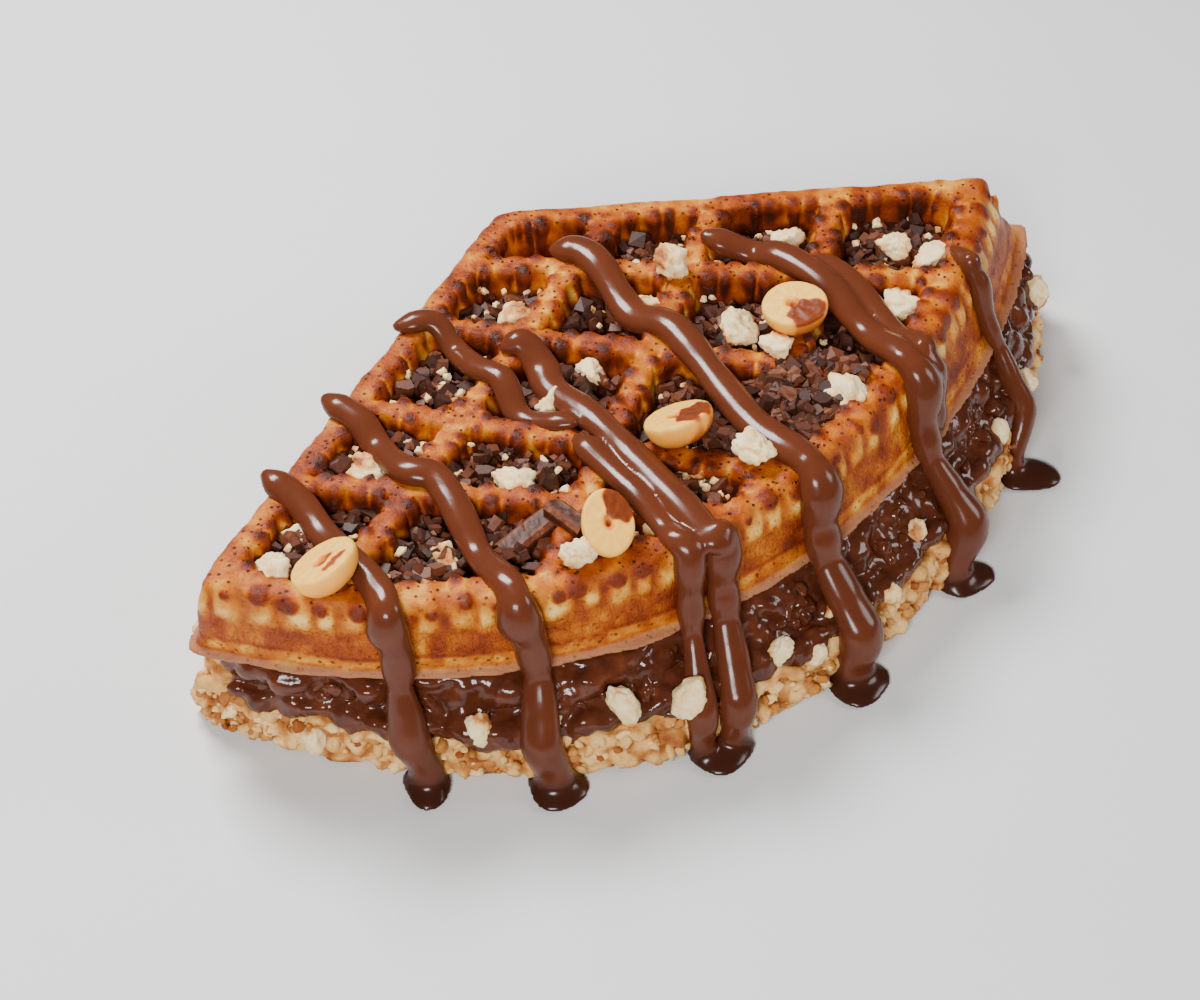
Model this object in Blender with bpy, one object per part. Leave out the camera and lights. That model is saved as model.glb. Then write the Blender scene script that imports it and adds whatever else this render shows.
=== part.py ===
"""Filled belgian waffle: a wedge of deep grid waffle on chocolate cream on a thinner waffle that is
folded up along the left side, with sauce, chocolate chips, chopped nuts and hazelnut halves on top.

Lengths are in millimetres until solid() turns them into metres. The origin is the centre of the
footprint, +Z is up, and the round front of the wedge faces -Y and +X.
"""

import math
import random

import bmesh
import bpy
import numpy as np
from mathutils import Matrix, Vector
from mathutils.bvhtree import BVHTree

MM = 0.001
GAP = 0.4  # clear space between two pieces that lie on each other
CENTRE = Vector((-0.7, -2.6, 0.0))  # where the middle of the whole footprint lies in the plan below

# Heights of the layers
BASE_TOP = 12.0
TOP_UNDER = 25.0
TOP_CREST = 45.0

# Plan of the wedge: two straight cuts that meet at the apex, and a round front
APEX = Vector((-33.2, 57.3))
LEFT_CORNER = Vector((-92.1, -61.2))
RIGHT_CORNER = Vector((78.1, 69.8))
# Each level: centre and radius of the front arc, and how far both cuts stand out from the rim's
RIM = {"centre": (-60.6, 76.4), "radius": 139.3, "left": 1.4, "back": 1.2, "round": 1.4}
LIP = {"centre": (-59.0, 84.7), "radius": 149.5, "left": 4.4, "back": 4.5, "round": 1.8}
BASE = {"centre": (-39.5, 61.4), "radius": 131.7, "left": 6.0, "back": 5.0, "round": 2.4}
# The round front swells and flattens in slow waves: height, waves a turn, and where one is highest
SWELL, SWELL_WAVES, SWELL_AT = 2.65, 4.0, -71.6
SIDES = 96  # points round an outline

# The grid of ribs: a point on each rib's line and the line's direction in degrees
ROW_RIBS = [((0.0, 38.0), -2.4), ((0.0, 12.0), -9.5), ((0.0, -19.6), -13.0), ((-49.3, -30.5), -6.0)]
COLUMN_RIBS = [((-16.3, 39.0), 64.4), ((14.0, 54.0), 72.2), ((42.0, 57.0), 77.0)]
RIB_WIDTH = 5.2
RIM_WIDTH = 6.0
POCKET_FLOOR = 33.0
CHIP_LEVEL = 38.0  # top of the chips in a filled pocket
MOUND = 1.6  # how far the middle of those chips stands above their edge
FLUTE_PITCH = 6.6
FLUTE_DEPTH = 1.0
WALL_TAPER = 0.80  # size of a pocket's floor against its mouth
SMALLEST_POCKET = 45.0  # square millimetres
EMPTY_POCKETS = {(0, 0)}  # row, column
UNDERSIDE_DEPTH = 6.0

# The folded edge of the lower waffle, by angle round the origin
FOLD_START, FOLD_END, FOLD_EASE = 122.0, 206.0, 5.0
FOLD_THICKNESS = 8.0

# Sauce strands: points on top in plan, then the angle of the fall at the crest, the lip and the foot
STRANDS = {
    "first": {
        "top": [(-78.3, -28.8), (-71.6, -34.5), (-65.9, -43.0), (-59.0, -53.0), (-54.5, -60.0)],
        "fall": (-129.3, -126.8, -121.9), "end": 1.0, "width": 3.3, "foot": 7.0,
    },
    "second": {
        "top": [(-67.4, -6.2), (-61.2, -11.1), (-56.7, -17.1), (-50.5, -26.5), (-44.5, -28.5), (-39.8, -36.5),
                (-34.7, -48.0), (-29.0, -58.0)],
        "fall": (-113.8, -109.4, -104.7), "end": 1.0, "width": 3.4, "foot": 7.5,
    },
    "third": {
        "top": [(-53.5, 17.6), (-46.7, 18.9), (-41.3, 13.1), (-37.0, 5.8), (-31.3, 0.8), (-27.1, -7.8), (-17.0, -12.5)],
        "width": 3.0, "sag": 7.0,
    },
    "fourth": {
        "top": [(-30.0, 10.8), (-27.0, 11.8), (-23.0, 7.0), (-20.5, 0.0), (-12.1, -9.9), (-4.1, -22.1), (5.6, -36.2),
                (12.5, -46.5)],
        "fall": (-72.8, -72.6, -75.0), "end": 4.0, "width": 3.7,
    },
    "fourth_side": {
        "top": [(-9.5, -21.0), (-4.5, -29.7), (0.7, -36.5), (4.4, -43.5)],
        "fall": (-81.3, -79.2, -76.6), "end": 1.0, "width": 2.9, "foot": 7.5,
    },
    "fifth": {
        "top": [(-19.5, 42.8), (-14.9, 42.1), (-10.5, 37.0), (-3.3, 24.0), (3.9, 17.9), (8.7, 11.2), (21.4, -11.7),
                (31.5, -23.0)],
        "fall": (-38.0, -41.8, -45.6), "end": 1.0, "width": 3.9, "foot": 8.0,
    },
    "sixth": {
        "top": [(14.2, 46.8), (24.0, 44.5), (30.0, 41.0), (39.0, 31.5), (47.9, 18.5), (54.0, 8.5)],
        "fall": (5.0, -3.0, -12.0), "end": 1.0, "width": 3.7, "foot": 7.5,
    },
    "sixth_side": {
        "top": [(39.0, 39.5), (46.5, 31.0), (53.5, 19.0), (59.0, 12.3)],
        "fall": (11.0, 5.5, -5.0), "end": 26.5, "width": 2.8,
    },
    "seventh": {
        "top": [(69.0, 42.5), (72.0, 38.0)],
        "fall": (28.0, 22.0, 10.8), "end": 1.0, "width": 2.4, "foot": 6.0,
    },
}
STRAND_STEP = 7.0  # distance between two rings of a strand
STRAND_SIDES = 6
STRAND_FLATNESS = 0.62
SAG = 3.0  # how far a strand hangs into a pocket, where it has no depth of its own
FALL_SPREAD = 1.2  # a falling strand against the same strand on top

# Hazelnut halves: plan, height of the middle, diameters, and how far they lean towards -Y and +X
HAZELNUTS = {
    "hazelnut_1": {"at": (-65.0, -57.8, 43.0), "size": (15.2, 12.0), "lean": (-4.0, -20.0), "turn": 44.0},
    "hazelnut_2": {"at": (-8.8, -47.0, 43.0), "size": (14.2, 10.8), "lean": (26.0, 10.0), "turn": 98.0},
    "hazelnut_3": {"at": (5.6, -16.4, 43.0), "size": (15.0, 13.4), "lean": (-12.0, -18.0), "turn": 20.0},
    "hazelnut_4": {"at": (31.6, 18.4, 43.0), "size": (14.4, 14.0), "lean": (7.0, 0.0), "turn": 0.0},
}
HAZELNUT_DEPTH = 5.6
HAZELNUT_SIDES = 14
SETTLE_FROM, SETTLE_STEP = 12.0, 0.2

# Chopped nuts on top: plan and length
CHOPPED_NUTS = [
    (-76.5, -51.2, 9.0), (-71.6, -40.5, 7.0), (-58.5, -23.5, 10.0), (-29.7, 24.5, 9.0), (-12.6, 8.0, 6.5),
    (-20.5, -3.4, 8.0), (5.0, 36.8, 8.5), (0.6, 28.0, 7.0), (15.9, 40.0, 6.5), (31.8, 50.0, 8.5),
    (19.4, 19.0, 10.0), (27.6, 10.0, 6.5), (41.6, -1.5, 11.0), (21.6, -22.2, 9.0), (55.5, 49.1, 7.5),
    (64.0, 44.4, 10.0), (55.6, 29.0, 8.5), (-28.5, -27.5, 10.0), (-19.2, -31.0, 8.0), (0.6, -38.5, 6.0),
    (-15.0, -51.5, 7.0), (-42.0, -46.8, 8.0), (-44.6, -56.0, 6.0), (9.0, -24.5, 6.5), (-47.2, -16.5, 6.0),
]
# Nuts caught in the cream: angle round the origin, height and length
CREAM_NUTS = [
    (-84.5, 17.0, 8.5), (-94.7, 15.5, 9.0), (-116.5, 15.0, 8.5), (-61.8, 17.5, 7.0), (-31.7, 15.0, 7.0),
    (-17.0, 18.5, 6.5), (11.0, 15.5, 6.5), (33.7, 17.5, 9.0), (-99.5, 18.5, 5.5), (-54.0, 16.0, 6.0),
]
CHIP_SIZE = (3.6, 6.0)
CHIPS_IN_POCKET = 4

COLOURS = {
    "waffle_top": ((0.60, 0.30, 0.10), 0.5),
    "cream_filling": ((0.10, 0.035, 0.018), 0.25),
    "waffle_bottom": ((0.62, 0.38, 0.17), 0.7),
    "hazelnut": ((0.75, 0.50, 0.24), 0.45),
}


# Plan geometry

def radius_to_line(direction, first, second, offset):
    """Distance from the origin to a line moved out by offset, along a unit direction."""
    along = (second - first).normalized()
    normal = Vector((along.y, -along.x))
    if normal.dot(first) < 0:
        normal.negate()
    facing = normal.dot(direction)
    return (normal.dot(first) + offset) / facing if facing > 0.02 else 1e4


def radius_to_arc(direction, centre, radius):
    """Distance from the origin, which lies inside the circle, to the circle and its swell."""
    along = direction.dot(centre)
    distance = along + math.sqrt(along * along - centre.length_squared + radius * radius)
    spoke = direction * distance - centre
    return distance + SWELL * math.cos(SWELL_WAVES * (math.atan2(spoke.y, spoke.x) - math.radians(SWELL_AT)))


def outline_radius(level, degrees, inset=0.0):
    """Distance from the origin to a level's outline, with its corners rounded by a soft minimum."""
    angle = math.radians(degrees)
    direction = Vector((math.cos(angle), math.sin(angle)))
    distances = (
        radius_to_line(direction, APEX, LEFT_CORNER, level["left"] - inset),
        radius_to_line(direction, APEX, RIGHT_CORNER, level["back"] - inset),
        radius_to_arc(direction, Vector(level["centre"]), level["radius"] - inset),
    )
    nearest = min(distances)
    blend = level["round"]
    return nearest - blend * math.log(sum(math.exp((nearest - d) / blend) for d in distances))


def side_radius(degrees, z):
    """The nominal side of the stack at a height: straight, out to the lip, and further out below it."""
    base = outline_radius(BASE, degrees)
    lip = outline_radius(LIP, degrees)
    if z <= BASE_TOP:
        return base
    if z <= TOP_UNDER:
        share = (z - BASE_TOP) / (TOP_UNDER - BASE_TOP)
        return base + (lip - base) * share
    share = (z - TOP_UNDER) / (TOP_CREST - TOP_UNDER)
    return lip + (outline_radius(RIM, degrees) - lip) * share


def at_angle(radius, degrees, z):
    angle = math.radians(degrees)
    return Vector((radius * math.cos(angle), radius * math.sin(angle), z))


def smooth_step(value):
    value = min(1.0, max(0.0, value))
    return value * value * (3 - 2 * value)


def fold_share(degrees, wider=0.0):
    """1 along the folded edge, and 0 away from it; wider adds to both ends."""
    degrees %= 360.0
    rise = (degrees - FOLD_START + wider + FOLD_EASE) / FOLD_EASE
    fall = (FOLD_END + wider + FOLD_EASE - degrees) / FOLD_EASE
    return smooth_step(rise) * smooth_step(fall)


def ripple(degrees, z, seed):
    """A repeatable uneven value of about -1 to 1, for torn and lumpy sides."""
    angle = math.radians(degrees)
    return (
        0.45 * math.sin(13 * angle + 0.9 * z + seed)
        + 0.35 * math.sin(23 * angle - 1.7 * z + 2.3 * seed)
        + 0.30 * math.sin(37 * angle + 2.6 * z + 4.1 * seed)
    )


# Meshes

def solid(name, build):
    """Makes a named object from a bmesh in millimetres."""
    bmesh.ops.recalc_face_normals(build, faces=build.faces)
    bmesh.ops.translate(build, vec=-CENTRE, verts=build.verts)
    bmesh.ops.scale(build, vec=(MM, MM, MM), verts=build.verts)
    mesh = bpy.data.meshes.new(name)
    build.to_mesh(mesh)
    build.free()
    thing = bpy.data.objects.new(name, mesh)
    bpy.context.scene.collection.objects.link(thing)
    return thing


def loft(build, rings, low_middle=None, high_middle=None):
    """Closed shape through rings of equal length, each end closed flat or by a fan to a middle point."""
    made = [[build.verts.new(point) for point in ring] for ring in rings]
    count = len(made[0])
    for low, high in zip(made, made[1:]):
        for i in range(count):
            j = (i + 1) % count
            build.faces.new((low[i], low[j], high[j], high[i]))
    for ring, middle in ((made[0], low_middle), (made[-1], high_middle)):
        if middle is None:
            build.faces.new(ring)
            continue
        tip = build.verts.new(middle)
        for i in range(count):
            build.faces.new((ring[i], ring[(i + 1) % count], tip))


def outline_ring(radius_at, height_at):
    """One ring of SIDES points, from functions of the angle in degrees."""
    angles = [360.0 * i / SIDES for i in range(SIDES)]
    return [at_angle(radius_at(a), a, height_at(a)) for a in angles]


def combine(target, others, operation, solver="EXACT"):
    """Boolean of target with a list of objects, applied; the others are removed."""
    group = bpy.data.collections.new(target.name + "_pieces")
    bpy.context.scene.collection.children.link(group)
    for thing in others:
        bpy.context.scene.collection.objects.unlink(thing)
        group.objects.link(thing)
    cut = target.modifiers.new("combine", "BOOLEAN")
    cut.operand_type = "COLLECTION"
    cut.collection = group
    cut.operation = operation
    cut.solver = solver
    evaluated = target.evaluated_get(bpy.context.evaluated_depsgraph_get())
    mesh = bpy.data.meshes.new_from_object(evaluated)
    target.modifiers.clear()
    target.data = mesh
    for thing in others:
        bpy.data.objects.remove(thing)
    bpy.data.collections.remove(group)


def keep_largest(thing):
    """Drops the loose scraps and sealed bubbles that a union leaves."""
    build = bmesh.new()
    build.from_mesh(thing.data)
    left = set(build.verts)
    parts = []
    while left:
        found = {left.pop()}
        edge = list(found)
        while edge:
            vertex = edge.pop()
            for other in (e.other_vert(vertex) for e in vertex.link_edges):
                if other in left:
                    left.discard(other)
                    found.add(other)
                    edge.append(other)
        parts.append(found)
    parts.sort(key=len, reverse=True)
    bmesh.ops.delete(build, geom=[v for part in parts[1:] for v in part], context="VERTS")
    build.to_mesh(thing.data)
    build.free()


# Pockets

def clip(polygon, point, normal, offset):
    """The part of a convex polygon on the side of a line that normal points to."""
    kept = []
    for first, second in zip(polygon, polygon[1:] + polygon[:1]):
        here = (first - point).dot(normal) - offset
        there = (second - point).dot(normal) - offset
        if here >= 0:
            kept.append(first)
        if here * there < 0:
            kept.append(first + (second - first) * (here / (here - there)))
    return kept


def rib_normal(rib):
    """Unit normal of a rib's line: towards -Y for a row rib, towards +X for a column rib."""
    angle = math.radians(rib[1])
    return Vector((math.sin(angle), -math.cos(angle)))


def area_of(polygon):
    pairs = zip(polygon, polygon[1:] + polygon[:1])
    return abs(sum(a.x * b.y - b.x * a.y for a, b in pairs)) / 2


def pockets():
    """(row, column, polygon) of each pocket's mouth."""
    inside = [at_angle(outline_radius(RIM, a, RIM_WIDTH), a, 0).to_2d() for a in range(0, 360, 4)]
    found = []
    for row in range(len(ROW_RIBS) + 1):
        for column in range(len(COLUMN_RIBS) + 1):
            polygon = inside
            bounds = [(ROW_RIBS, row), (COLUMN_RIBS, column)]
            for ribs, place in bounds:
                if place > 0:
                    polygon = clip(polygon, Vector(ribs[place - 1][0]), rib_normal(ribs[place - 1]), RIB_WIDTH / 2)
                if place < len(ribs) and polygon:
                    polygon = clip(polygon, Vector(ribs[place][0]), -rib_normal(ribs[place]), RIB_WIDTH / 2)
            if len(polygon) > 2 and area_of(polygon) > SMALLEST_POCKET:
                found.append((row, column, polygon))
    return found


def middle_of(polygon):
    return sum(polygon, Vector((0, 0))) / len(polygon)


def straightened(polygon):
    """The polygon without the points that lie closer than a flute to a straight line."""
    kept = []
    for i, here in enumerate(polygon):
        before, after = polygon[i - 1], polygon[(i + 1) % len(polygon)]
        bend = abs((here - before).normalized().cross((after - here).normalized()))
        if (here - before).length > 0.5 and bend > 0.12:
            kept.append(here)
    return kept if len(kept) > 2 else polygon


def fluted(polygon):
    """Pairs of points round a polygon: the mouth, whose walls are fluted, and the plain line."""
    mouth, plain = [], []
    for first, second in zip(polygon, polygon[1:] + polygon[:1]):
        side = second - first
        outward = Vector((side.y, -side.x)).normalized()
        if outward.dot(first - middle_of(polygon)) < 0:
            outward.negate()
        flutes = max(1, round(side.length / FLUTE_PITCH))
        for i in range(flutes):
            start = first + side * (i / flutes)
            crest = first + side * ((i + 0.5) / flutes)
            mouth += [start, crest + outward * FLUTE_DEPTH]
            plain += [start, crest]
    return mouth, plain


def pocket_cutter(row, column, polygon):
    """A tapered block that leaves a pocket, with the chips' mound for its floor."""
    mouth, plain = fluted(straightened(polygon))
    middle = middle_of(polygon)
    filled = (row, column) not in EMPTY_POCKETS
    floor = CHIP_LEVEL if filled else POCKET_FLOOR
    depth_share = (TOP_CREST - floor) / (TOP_CREST - POCKET_FLOOR)
    taper = 1 - (1 - WALL_TAPER) * depth_share
    high = [(*(middle + (p - middle) * 1.03), TOP_CREST + 1.5) for p in mouth]
    low = [(*(middle + (p - middle) * taper), floor) for p in plain]
    build = bmesh.new()
    loft(build, [low, high], low_middle=(*middle, floor + (MOUND if filled else 0)))
    return solid("pocket", build)


def underside_cutter(polygon):
    middle = middle_of(polygon)
    mouth = [(*(middle + (p - middle) * 1.0), -1.0) for p in straightened(polygon)]
    floor = [(*(middle + (p - middle) * WALL_TAPER), UNDERSIDE_DEPTH) for p in straightened(polygon)]
    build = bmesh.new()
    loft(build, [mouth, floor])
    return solid("underside", build)


# Sauce

def rib_distance(x, y):
    """Distance from a point to the nearest rib's middle line or to the middle of the rim."""
    here = Vector((x, y))
    distances = [abs((here - Vector(rib[0])).dot(rib_normal(rib))) for rib in ROW_RIBS + COLUMN_RIBS]
    angle = math.degrees(math.atan2(y, x))
    distances.append(abs(outline_radius(RIM, angle, RIM_WIDTH / 2) - here.length))
    return min(distances)


def smooth_route(points, step):
    """Catmull-Rom curve through the points, read off at about every step."""
    knots = [points[0] * 2 - points[1], *points, points[-1] * 2 - points[-2]]
    route = []
    for a, b, c, d in zip(knots, knots[1:], knots[2:], knots[3:]):
        count = max(1, round((c - b).length / step))
        for i in range(count):
            t = i / count
            route.append(0.5 * ((2 * b) + (c - a) * t + (2 * a - 5 * b + 4 * c - d) * t**2 + (3 * b - a - 3 * c + d) * t**3))
    return route + [points[-1]]


def strand_knots(strand):
    """(points, outward normals, widths) down a strand, over the top and down the side."""
    width = strand["width"]
    points, normals, widths = [], [], []
    for x, y in strand["top"]:
        sag = strand.get("sag", SAG) * smooth_step((rib_distance(x, y) - RIB_WIDTH / 2) / 6.0)
        points.append(Vector((x, y, TOP_CREST + 0.25 * width - sag)))
        normals.append(Vector((0, 0, 1)))
        widths.append(width)
    if "fall" not in strand:
        return points, normals, widths
    at_crest, at_lip, at_foot = strand["fall"]
    thin = STRAND_FLATNESS * width * FALL_SPREAD
    stations = [
        (TOP_CREST - 0.5, 0.25 * thin, 1.0), (TOP_CREST - 7.0, 0.35 * thin, FALL_SPREAD),
        (TOP_UNDER + 6.0, 0.35 * thin, FALL_SPREAD), (TOP_UNDER - 1.0, thin + 1.6, 0.85),
        (BASE_TOP + 6.0, thin + 1.9, FALL_SPREAD), (BASE_TOP - 1.0, thin + 2.1, FALL_SPREAD),
        (5.0, thin + 2.1, 0.9), (1.4, thin + 2.1, 0.75),
    ]
    for z, stand_off, swell in stations:
        if z < strand["end"]:
            continue
        if z > TOP_UNDER:
            degrees = at_lip + (at_crest - at_lip) * (z - TOP_UNDER) / (TOP_CREST - TOP_UNDER)
        else:
            degrees = at_foot + (at_lip - at_foot) * z / TOP_UNDER
        points.append(at_angle(side_radius(degrees, z) + stand_off, degrees, z))
        outward = at_angle(1.0, degrees, 0.0)
        normals.append((outward + Vector((0, 0, 1.2 if z > TOP_CREST - 1 else 0.1))).normalized())
        widths.append(width * swell)
    return points, normals, widths


def strand_solid(strand):
    """A flattened tube along a strand."""
    points, normals, widths = strand_knots(strand)
    route = smooth_route(points, STRAND_STEP)
    rings = []
    for i, here in enumerate(route):
        nearest = min(range(len(points)), key=lambda k: (points[k] - here).length)
        before, after = route[max(0, i - 1)], route[min(len(route) - 1, i + 1)]
        along = (after - before).normalized()
        across = along.cross(normals[nearest]).normalized()
        up = across.cross(along).normalized()
        end_taper = 0.55 if i in (0, len(route) - 1) else 1.0
        half = widths[nearest] * end_taper
        turns = [2 * math.pi * k / STRAND_SIDES for k in range(STRAND_SIDES)]
        rings.append([here + across * half * math.cos(t) + up * half * STRAND_FLATNESS * math.sin(t) for t in turns])
    build = bmesh.new()
    loft(build, rings)
    return solid("strand", build)


def foot_solid(strand):
    """The small pool where a strand meets the surface that the waffle stands on."""
    degrees = strand["fall"][2]
    half = strand["foot"]
    middle = at_angle(side_radius(degrees, 0) + 0.62 * half + 0.8, degrees, 0)
    rings = []
    for height, share in ((0.0, 0.92), (1.0, 1.0), (2.4, 0.72), (3.2, 0.35)):
        turns = [2 * math.pi * k / 12 for k in range(12)]
        rings.append([
            middle + Vector((0.62 * half * share * math.cos(t), half * share * math.sin(t), 0)).to_2d().to_3d()
            + Vector((0, 0, height)) for t in turns
        ])
    turn = Matrix.Rotation(math.radians(degrees), 3, "Z")
    rings = [[middle.to_2d().to_3d() + turn @ (p - middle) for p in ring] for ring in rings]
    build = bmesh.new()
    loft(build, rings)
    return solid("foot", build)


# Toppings

def lump(size, stretch, place, draw):
    """A jittered icosahedron: a chip or a piece of nut."""
    build = bmesh.new()
    bmesh.ops.create_icosphere(build, subdivisions=1, radius=size / 2)
    turn = Matrix.Rotation(draw.uniform(0, 2 * math.pi), 3, Vector((draw.random(), draw.random(), 0.5)))
    for vertex in build.verts:
        vertex.co *= draw.uniform(0.82, 1.15)
        vertex.co = turn @ Vector(a * b for a, b in zip(vertex.co, stretch)) + place
    return solid("lump", build)


def inside(polygon, point):
    middle = middle_of(polygon)
    for first, second in zip(polygon, polygon[1:] + polygon[:1]):
        side = second - first
        if side.cross(middle - first) * side.cross(point - first) < 0:
            return False
    return True


def near_hazelnut(point, reach):
    return any((Vector(nut["at"][:2]) - point).length < reach for nut in HAZELNUTS.values())


def near_strand(point, reach):
    """Whether a point in plan lies under a strand or close beside it."""
    for strand in STRANDS.values():
        route = smooth_route([Vector((x, y, 0)) for x, y in strand["top"]], 2.0)
        if any((here.to_2d() - point).length < reach for here in route):
            return True
    return False


def surface_height(point, cells):
    """Height of the bare top under a point: the chips in a pocket, or the ribs."""
    for _, _, polygon in cells:
        if inside(polygon, point):
            return CHIP_LEVEL + MOUND * 0.5
    return TOP_CREST


def chips_and_nuts(cells):
    """Chips spread over each filled pocket, and the chopped nuts where they lie."""
    draw = random.Random(7)
    pieces = []
    taken = [(Vector((x, y)), length / 2) for x, y, length in CHOPPED_NUTS]
    for x, y, length in CHOPPED_NUTS:
        here = Vector((x, y))
        height = surface_height(here, cells) + (2.2 if surface_height(here, cells) < TOP_CREST else 1.0)
        pieces.append(lump(length, (1.0, 0.75, 0.62), Vector((x, y, height)), draw))
    for row, column, polygon in cells:
        if (row, column) in EMPTY_POCKETS:
            continue
        middle = middle_of(polygon)
        for i in range(CHIPS_IN_POCKET):
            corner = polygon[(i * len(polygon)) // CHIPS_IN_POCKET]
            here = middle + (corner - middle) * draw.uniform(0.3, 0.72)
            size = draw.uniform(*CHIP_SIZE)
            crowded = any((place - here).length < reach + 0.65 * size for place, reach in taken)
            if crowded or near_hazelnut(here, 11.0) or near_strand(here, 6.0):
                continue
            taken.append((here, size / 2))
            pieces.append(lump(size, (1.0, 0.9, 0.7), here.to_3d() + Vector((0, 0, CHIP_LEVEL + 1.4)), draw))
    return pieces


# The pieces

def waffle_top():
    cells = pockets()
    build = bmesh.new()
    rings = [
        outline_ring(lambda a: outline_radius(LIP, a) - 0.8, lambda a: TOP_UNDER),
        outline_ring(lambda a: outline_radius(LIP, a), lambda a: TOP_UNDER + 0.9),
        outline_ring(lambda a: side_radius(a, TOP_UNDER + 2.5) - 0.9, lambda a: TOP_UNDER + 2.5),
        outline_ring(lambda a: outline_radius(RIM, a) + 0.1, lambda a: TOP_CREST - 1.4),
        outline_ring(lambda a: outline_radius(RIM, a) - 1.2, lambda a: TOP_CREST),
    ]
    loft(build, rings)
    top = solid("waffle_top", build)
    combine(top, [pocket_cutter(*cell) for cell in cells], "DIFFERENCE")
    toppings = [strand_solid(strand) for strand in STRANDS.values()]
    toppings += [foot_solid(strand) for strand in STRANDS.values() if "foot" in strand]
    toppings += chips_and_nuts(cells)
    combine(top, toppings, "UNION")
    keep_largest(top)
    return top


def cream_radius(degrees, z):
    """The cream's side: inside the fold, and lumpy where it shows."""
    beside_fold = fold_share(degrees, FOLD_EASE + 1.0)
    inner = side_radius(degrees, z) - 1.2 - (FOLD_THICKNESS + 2.0) * beside_fold
    return inner + 0.9 * ripple(degrees, z, 1.0) * (1 - beside_fold)


def cream_filling():
    low, high = BASE_TOP + GAP, TOP_UNDER - GAP
    levels = (low, low + 1.2, low + 4.2, low + 8.2, high - 0.8, high)
    edges = (1.6, 0.0, -0.3, 0.0, 0.6, 2.0)
    rings = [
        outline_ring(lambda a, z=z, e=e: cream_radius(a, z) - e, lambda a, z=z: z)
        for z, e in zip(levels, edges)
    ]
    build = bmesh.new()
    loft(build, rings)
    cream = solid("cream_filling", build)
    draw = random.Random(11)
    nuts = []
    for degrees, z, length in CREAM_NUTS:
        place = at_angle(cream_radius(degrees, z) + 0.3, degrees, z)
        nuts.append(lump(min(length, 9.0), (0.62, 0.62, 0.62), place, draw))
    combine(cream, nuts, "UNION")
    keep_largest(cream)
    return cream


def waffle_bottom():
    def torn(a, z):
        return outline_radius(BASE, a) + 1.3 * ripple(a, z, 3.0) - 0.4

    def fold_top(a):
        return BASE_TOP + (TOP_UNDER - GAP - BASE_TOP) * fold_share(a)

    def fold_side(a):
        """The outer side at the fold's top, which leans in under the upper waffle."""
        return torn(a, 12.0) - 2.2 * fold_share(a) - 1.0

    rings = [
        outline_ring(lambda a: torn(a, 0.0) - 2.0, lambda a: 0.0),
        outline_ring(lambda a: torn(a, 2.0), lambda a: 2.0),
        outline_ring(lambda a: torn(a, 5.5), lambda a: 5.5),
        outline_ring(lambda a: torn(a, 9.0), lambda a: 9.0 + 6.0 * fold_share(a)),
        outline_ring(fold_side, fold_top),
        outline_ring(lambda a: outline_radius(BASE, a) - 1.8 - FOLD_THICKNESS, fold_top),
        outline_ring(lambda a: outline_radius(BASE, a) - 2.2 - FOLD_THICKNESS, lambda a: BASE_TOP),
    ]
    build = bmesh.new()
    loft(build, rings)
    bottom = solid("waffle_bottom", build)
    combine(bottom, [underside_cutter(polygon) for _, _, polygon in pockets()], "DIFFERENCE")
    return bottom


def hazelnut(name, nut):
    """Half a blanched hazelnut, cut face up, with the small hollow of its heart."""
    build = bmesh.new()
    half_x, half_y = nut["size"][0] / 2, nut["size"][1] / 2
    turns = [2 * math.pi * k / HAZELNUT_SIDES for k in range(HAZELNUT_SIDES)]
    profile = [(0.38, -1.0), (0.74, -0.76), (0.95, -0.36), (1.0, -0.06), (0.95, 0.0), (0.16, 0.0)]
    rings = [
        [Vector((half_x * share * math.cos(t), half_y * share * math.sin(t), HAZELNUT_DEPTH * depth)) for t in turns]
        for share, depth in profile
    ]
    loft(build, rings, high_middle=(0, 0, -1.0))
    forward, sideways = (math.radians(value) for value in nut["lean"])
    turn = (
        Matrix.Rotation(forward, 3, "X")
        @ Matrix.Rotation(sideways, 3, "Y")
        @ Matrix.Rotation(math.radians(nut["turn"]), 3, "Z")
    )
    for vertex in build.verts:
        vertex.co = turn @ vertex.co + Vector(nut["at"])
    return solid(name, build)


def is_clear(thing, support):
    """Whether a piece is at least GAP away from what carries it."""
    own = BVHTree.FromPolygons([v.co for v in thing.data.vertices], [p.vertices for p in thing.data.polygons])
    other = BVHTree.FromPolygons([v.co for v in support.data.vertices], [p.vertices for p in support.data.polygons])
    if own.overlap(other):
        return False
    near = GAP * MM
    if any(other.find_nearest(v.co, near)[0] for v in thing.data.vertices):
        return False
    return not any(own.find_nearest(v.co, near)[0] for v in support.data.vertices)


def settle(thing, support):
    """Lowers a piece from above the place that it has until it lies on what carries it."""
    thing.data.transform(Matrix.Translation((0, 0, SETTLE_FROM * MM)))
    down = Matrix.Translation((0, 0, -SETTLE_STEP * MM))
    for _ in range(round(SETTLE_FROM / SETTLE_STEP)):
        thing.data.transform(down)
        if not is_clear(thing, support):
            thing.data.transform(down.inverted())
            break


def finish(thing, look):
    """Gives a piece its material and shades its round parts smooth."""
    colour, roughness = COLOURS[look]
    material = bpy.data.materials.new(thing.name)
    material.use_nodes = True
    shader = material.node_tree.nodes["Principled BSDF"]
    shader.inputs["Base Color"].default_value = (*colour, 1.0)
    shader.inputs["Roughness"].default_value = roughness
    shader.inputs["Metallic"].default_value = 0.0
    thing.data.materials.clear()
    thing.data.materials.append(material)
    thing.data.shade_smooth()
    thing.data.set_sharp_from_angle(angle=math.radians(35))


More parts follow.
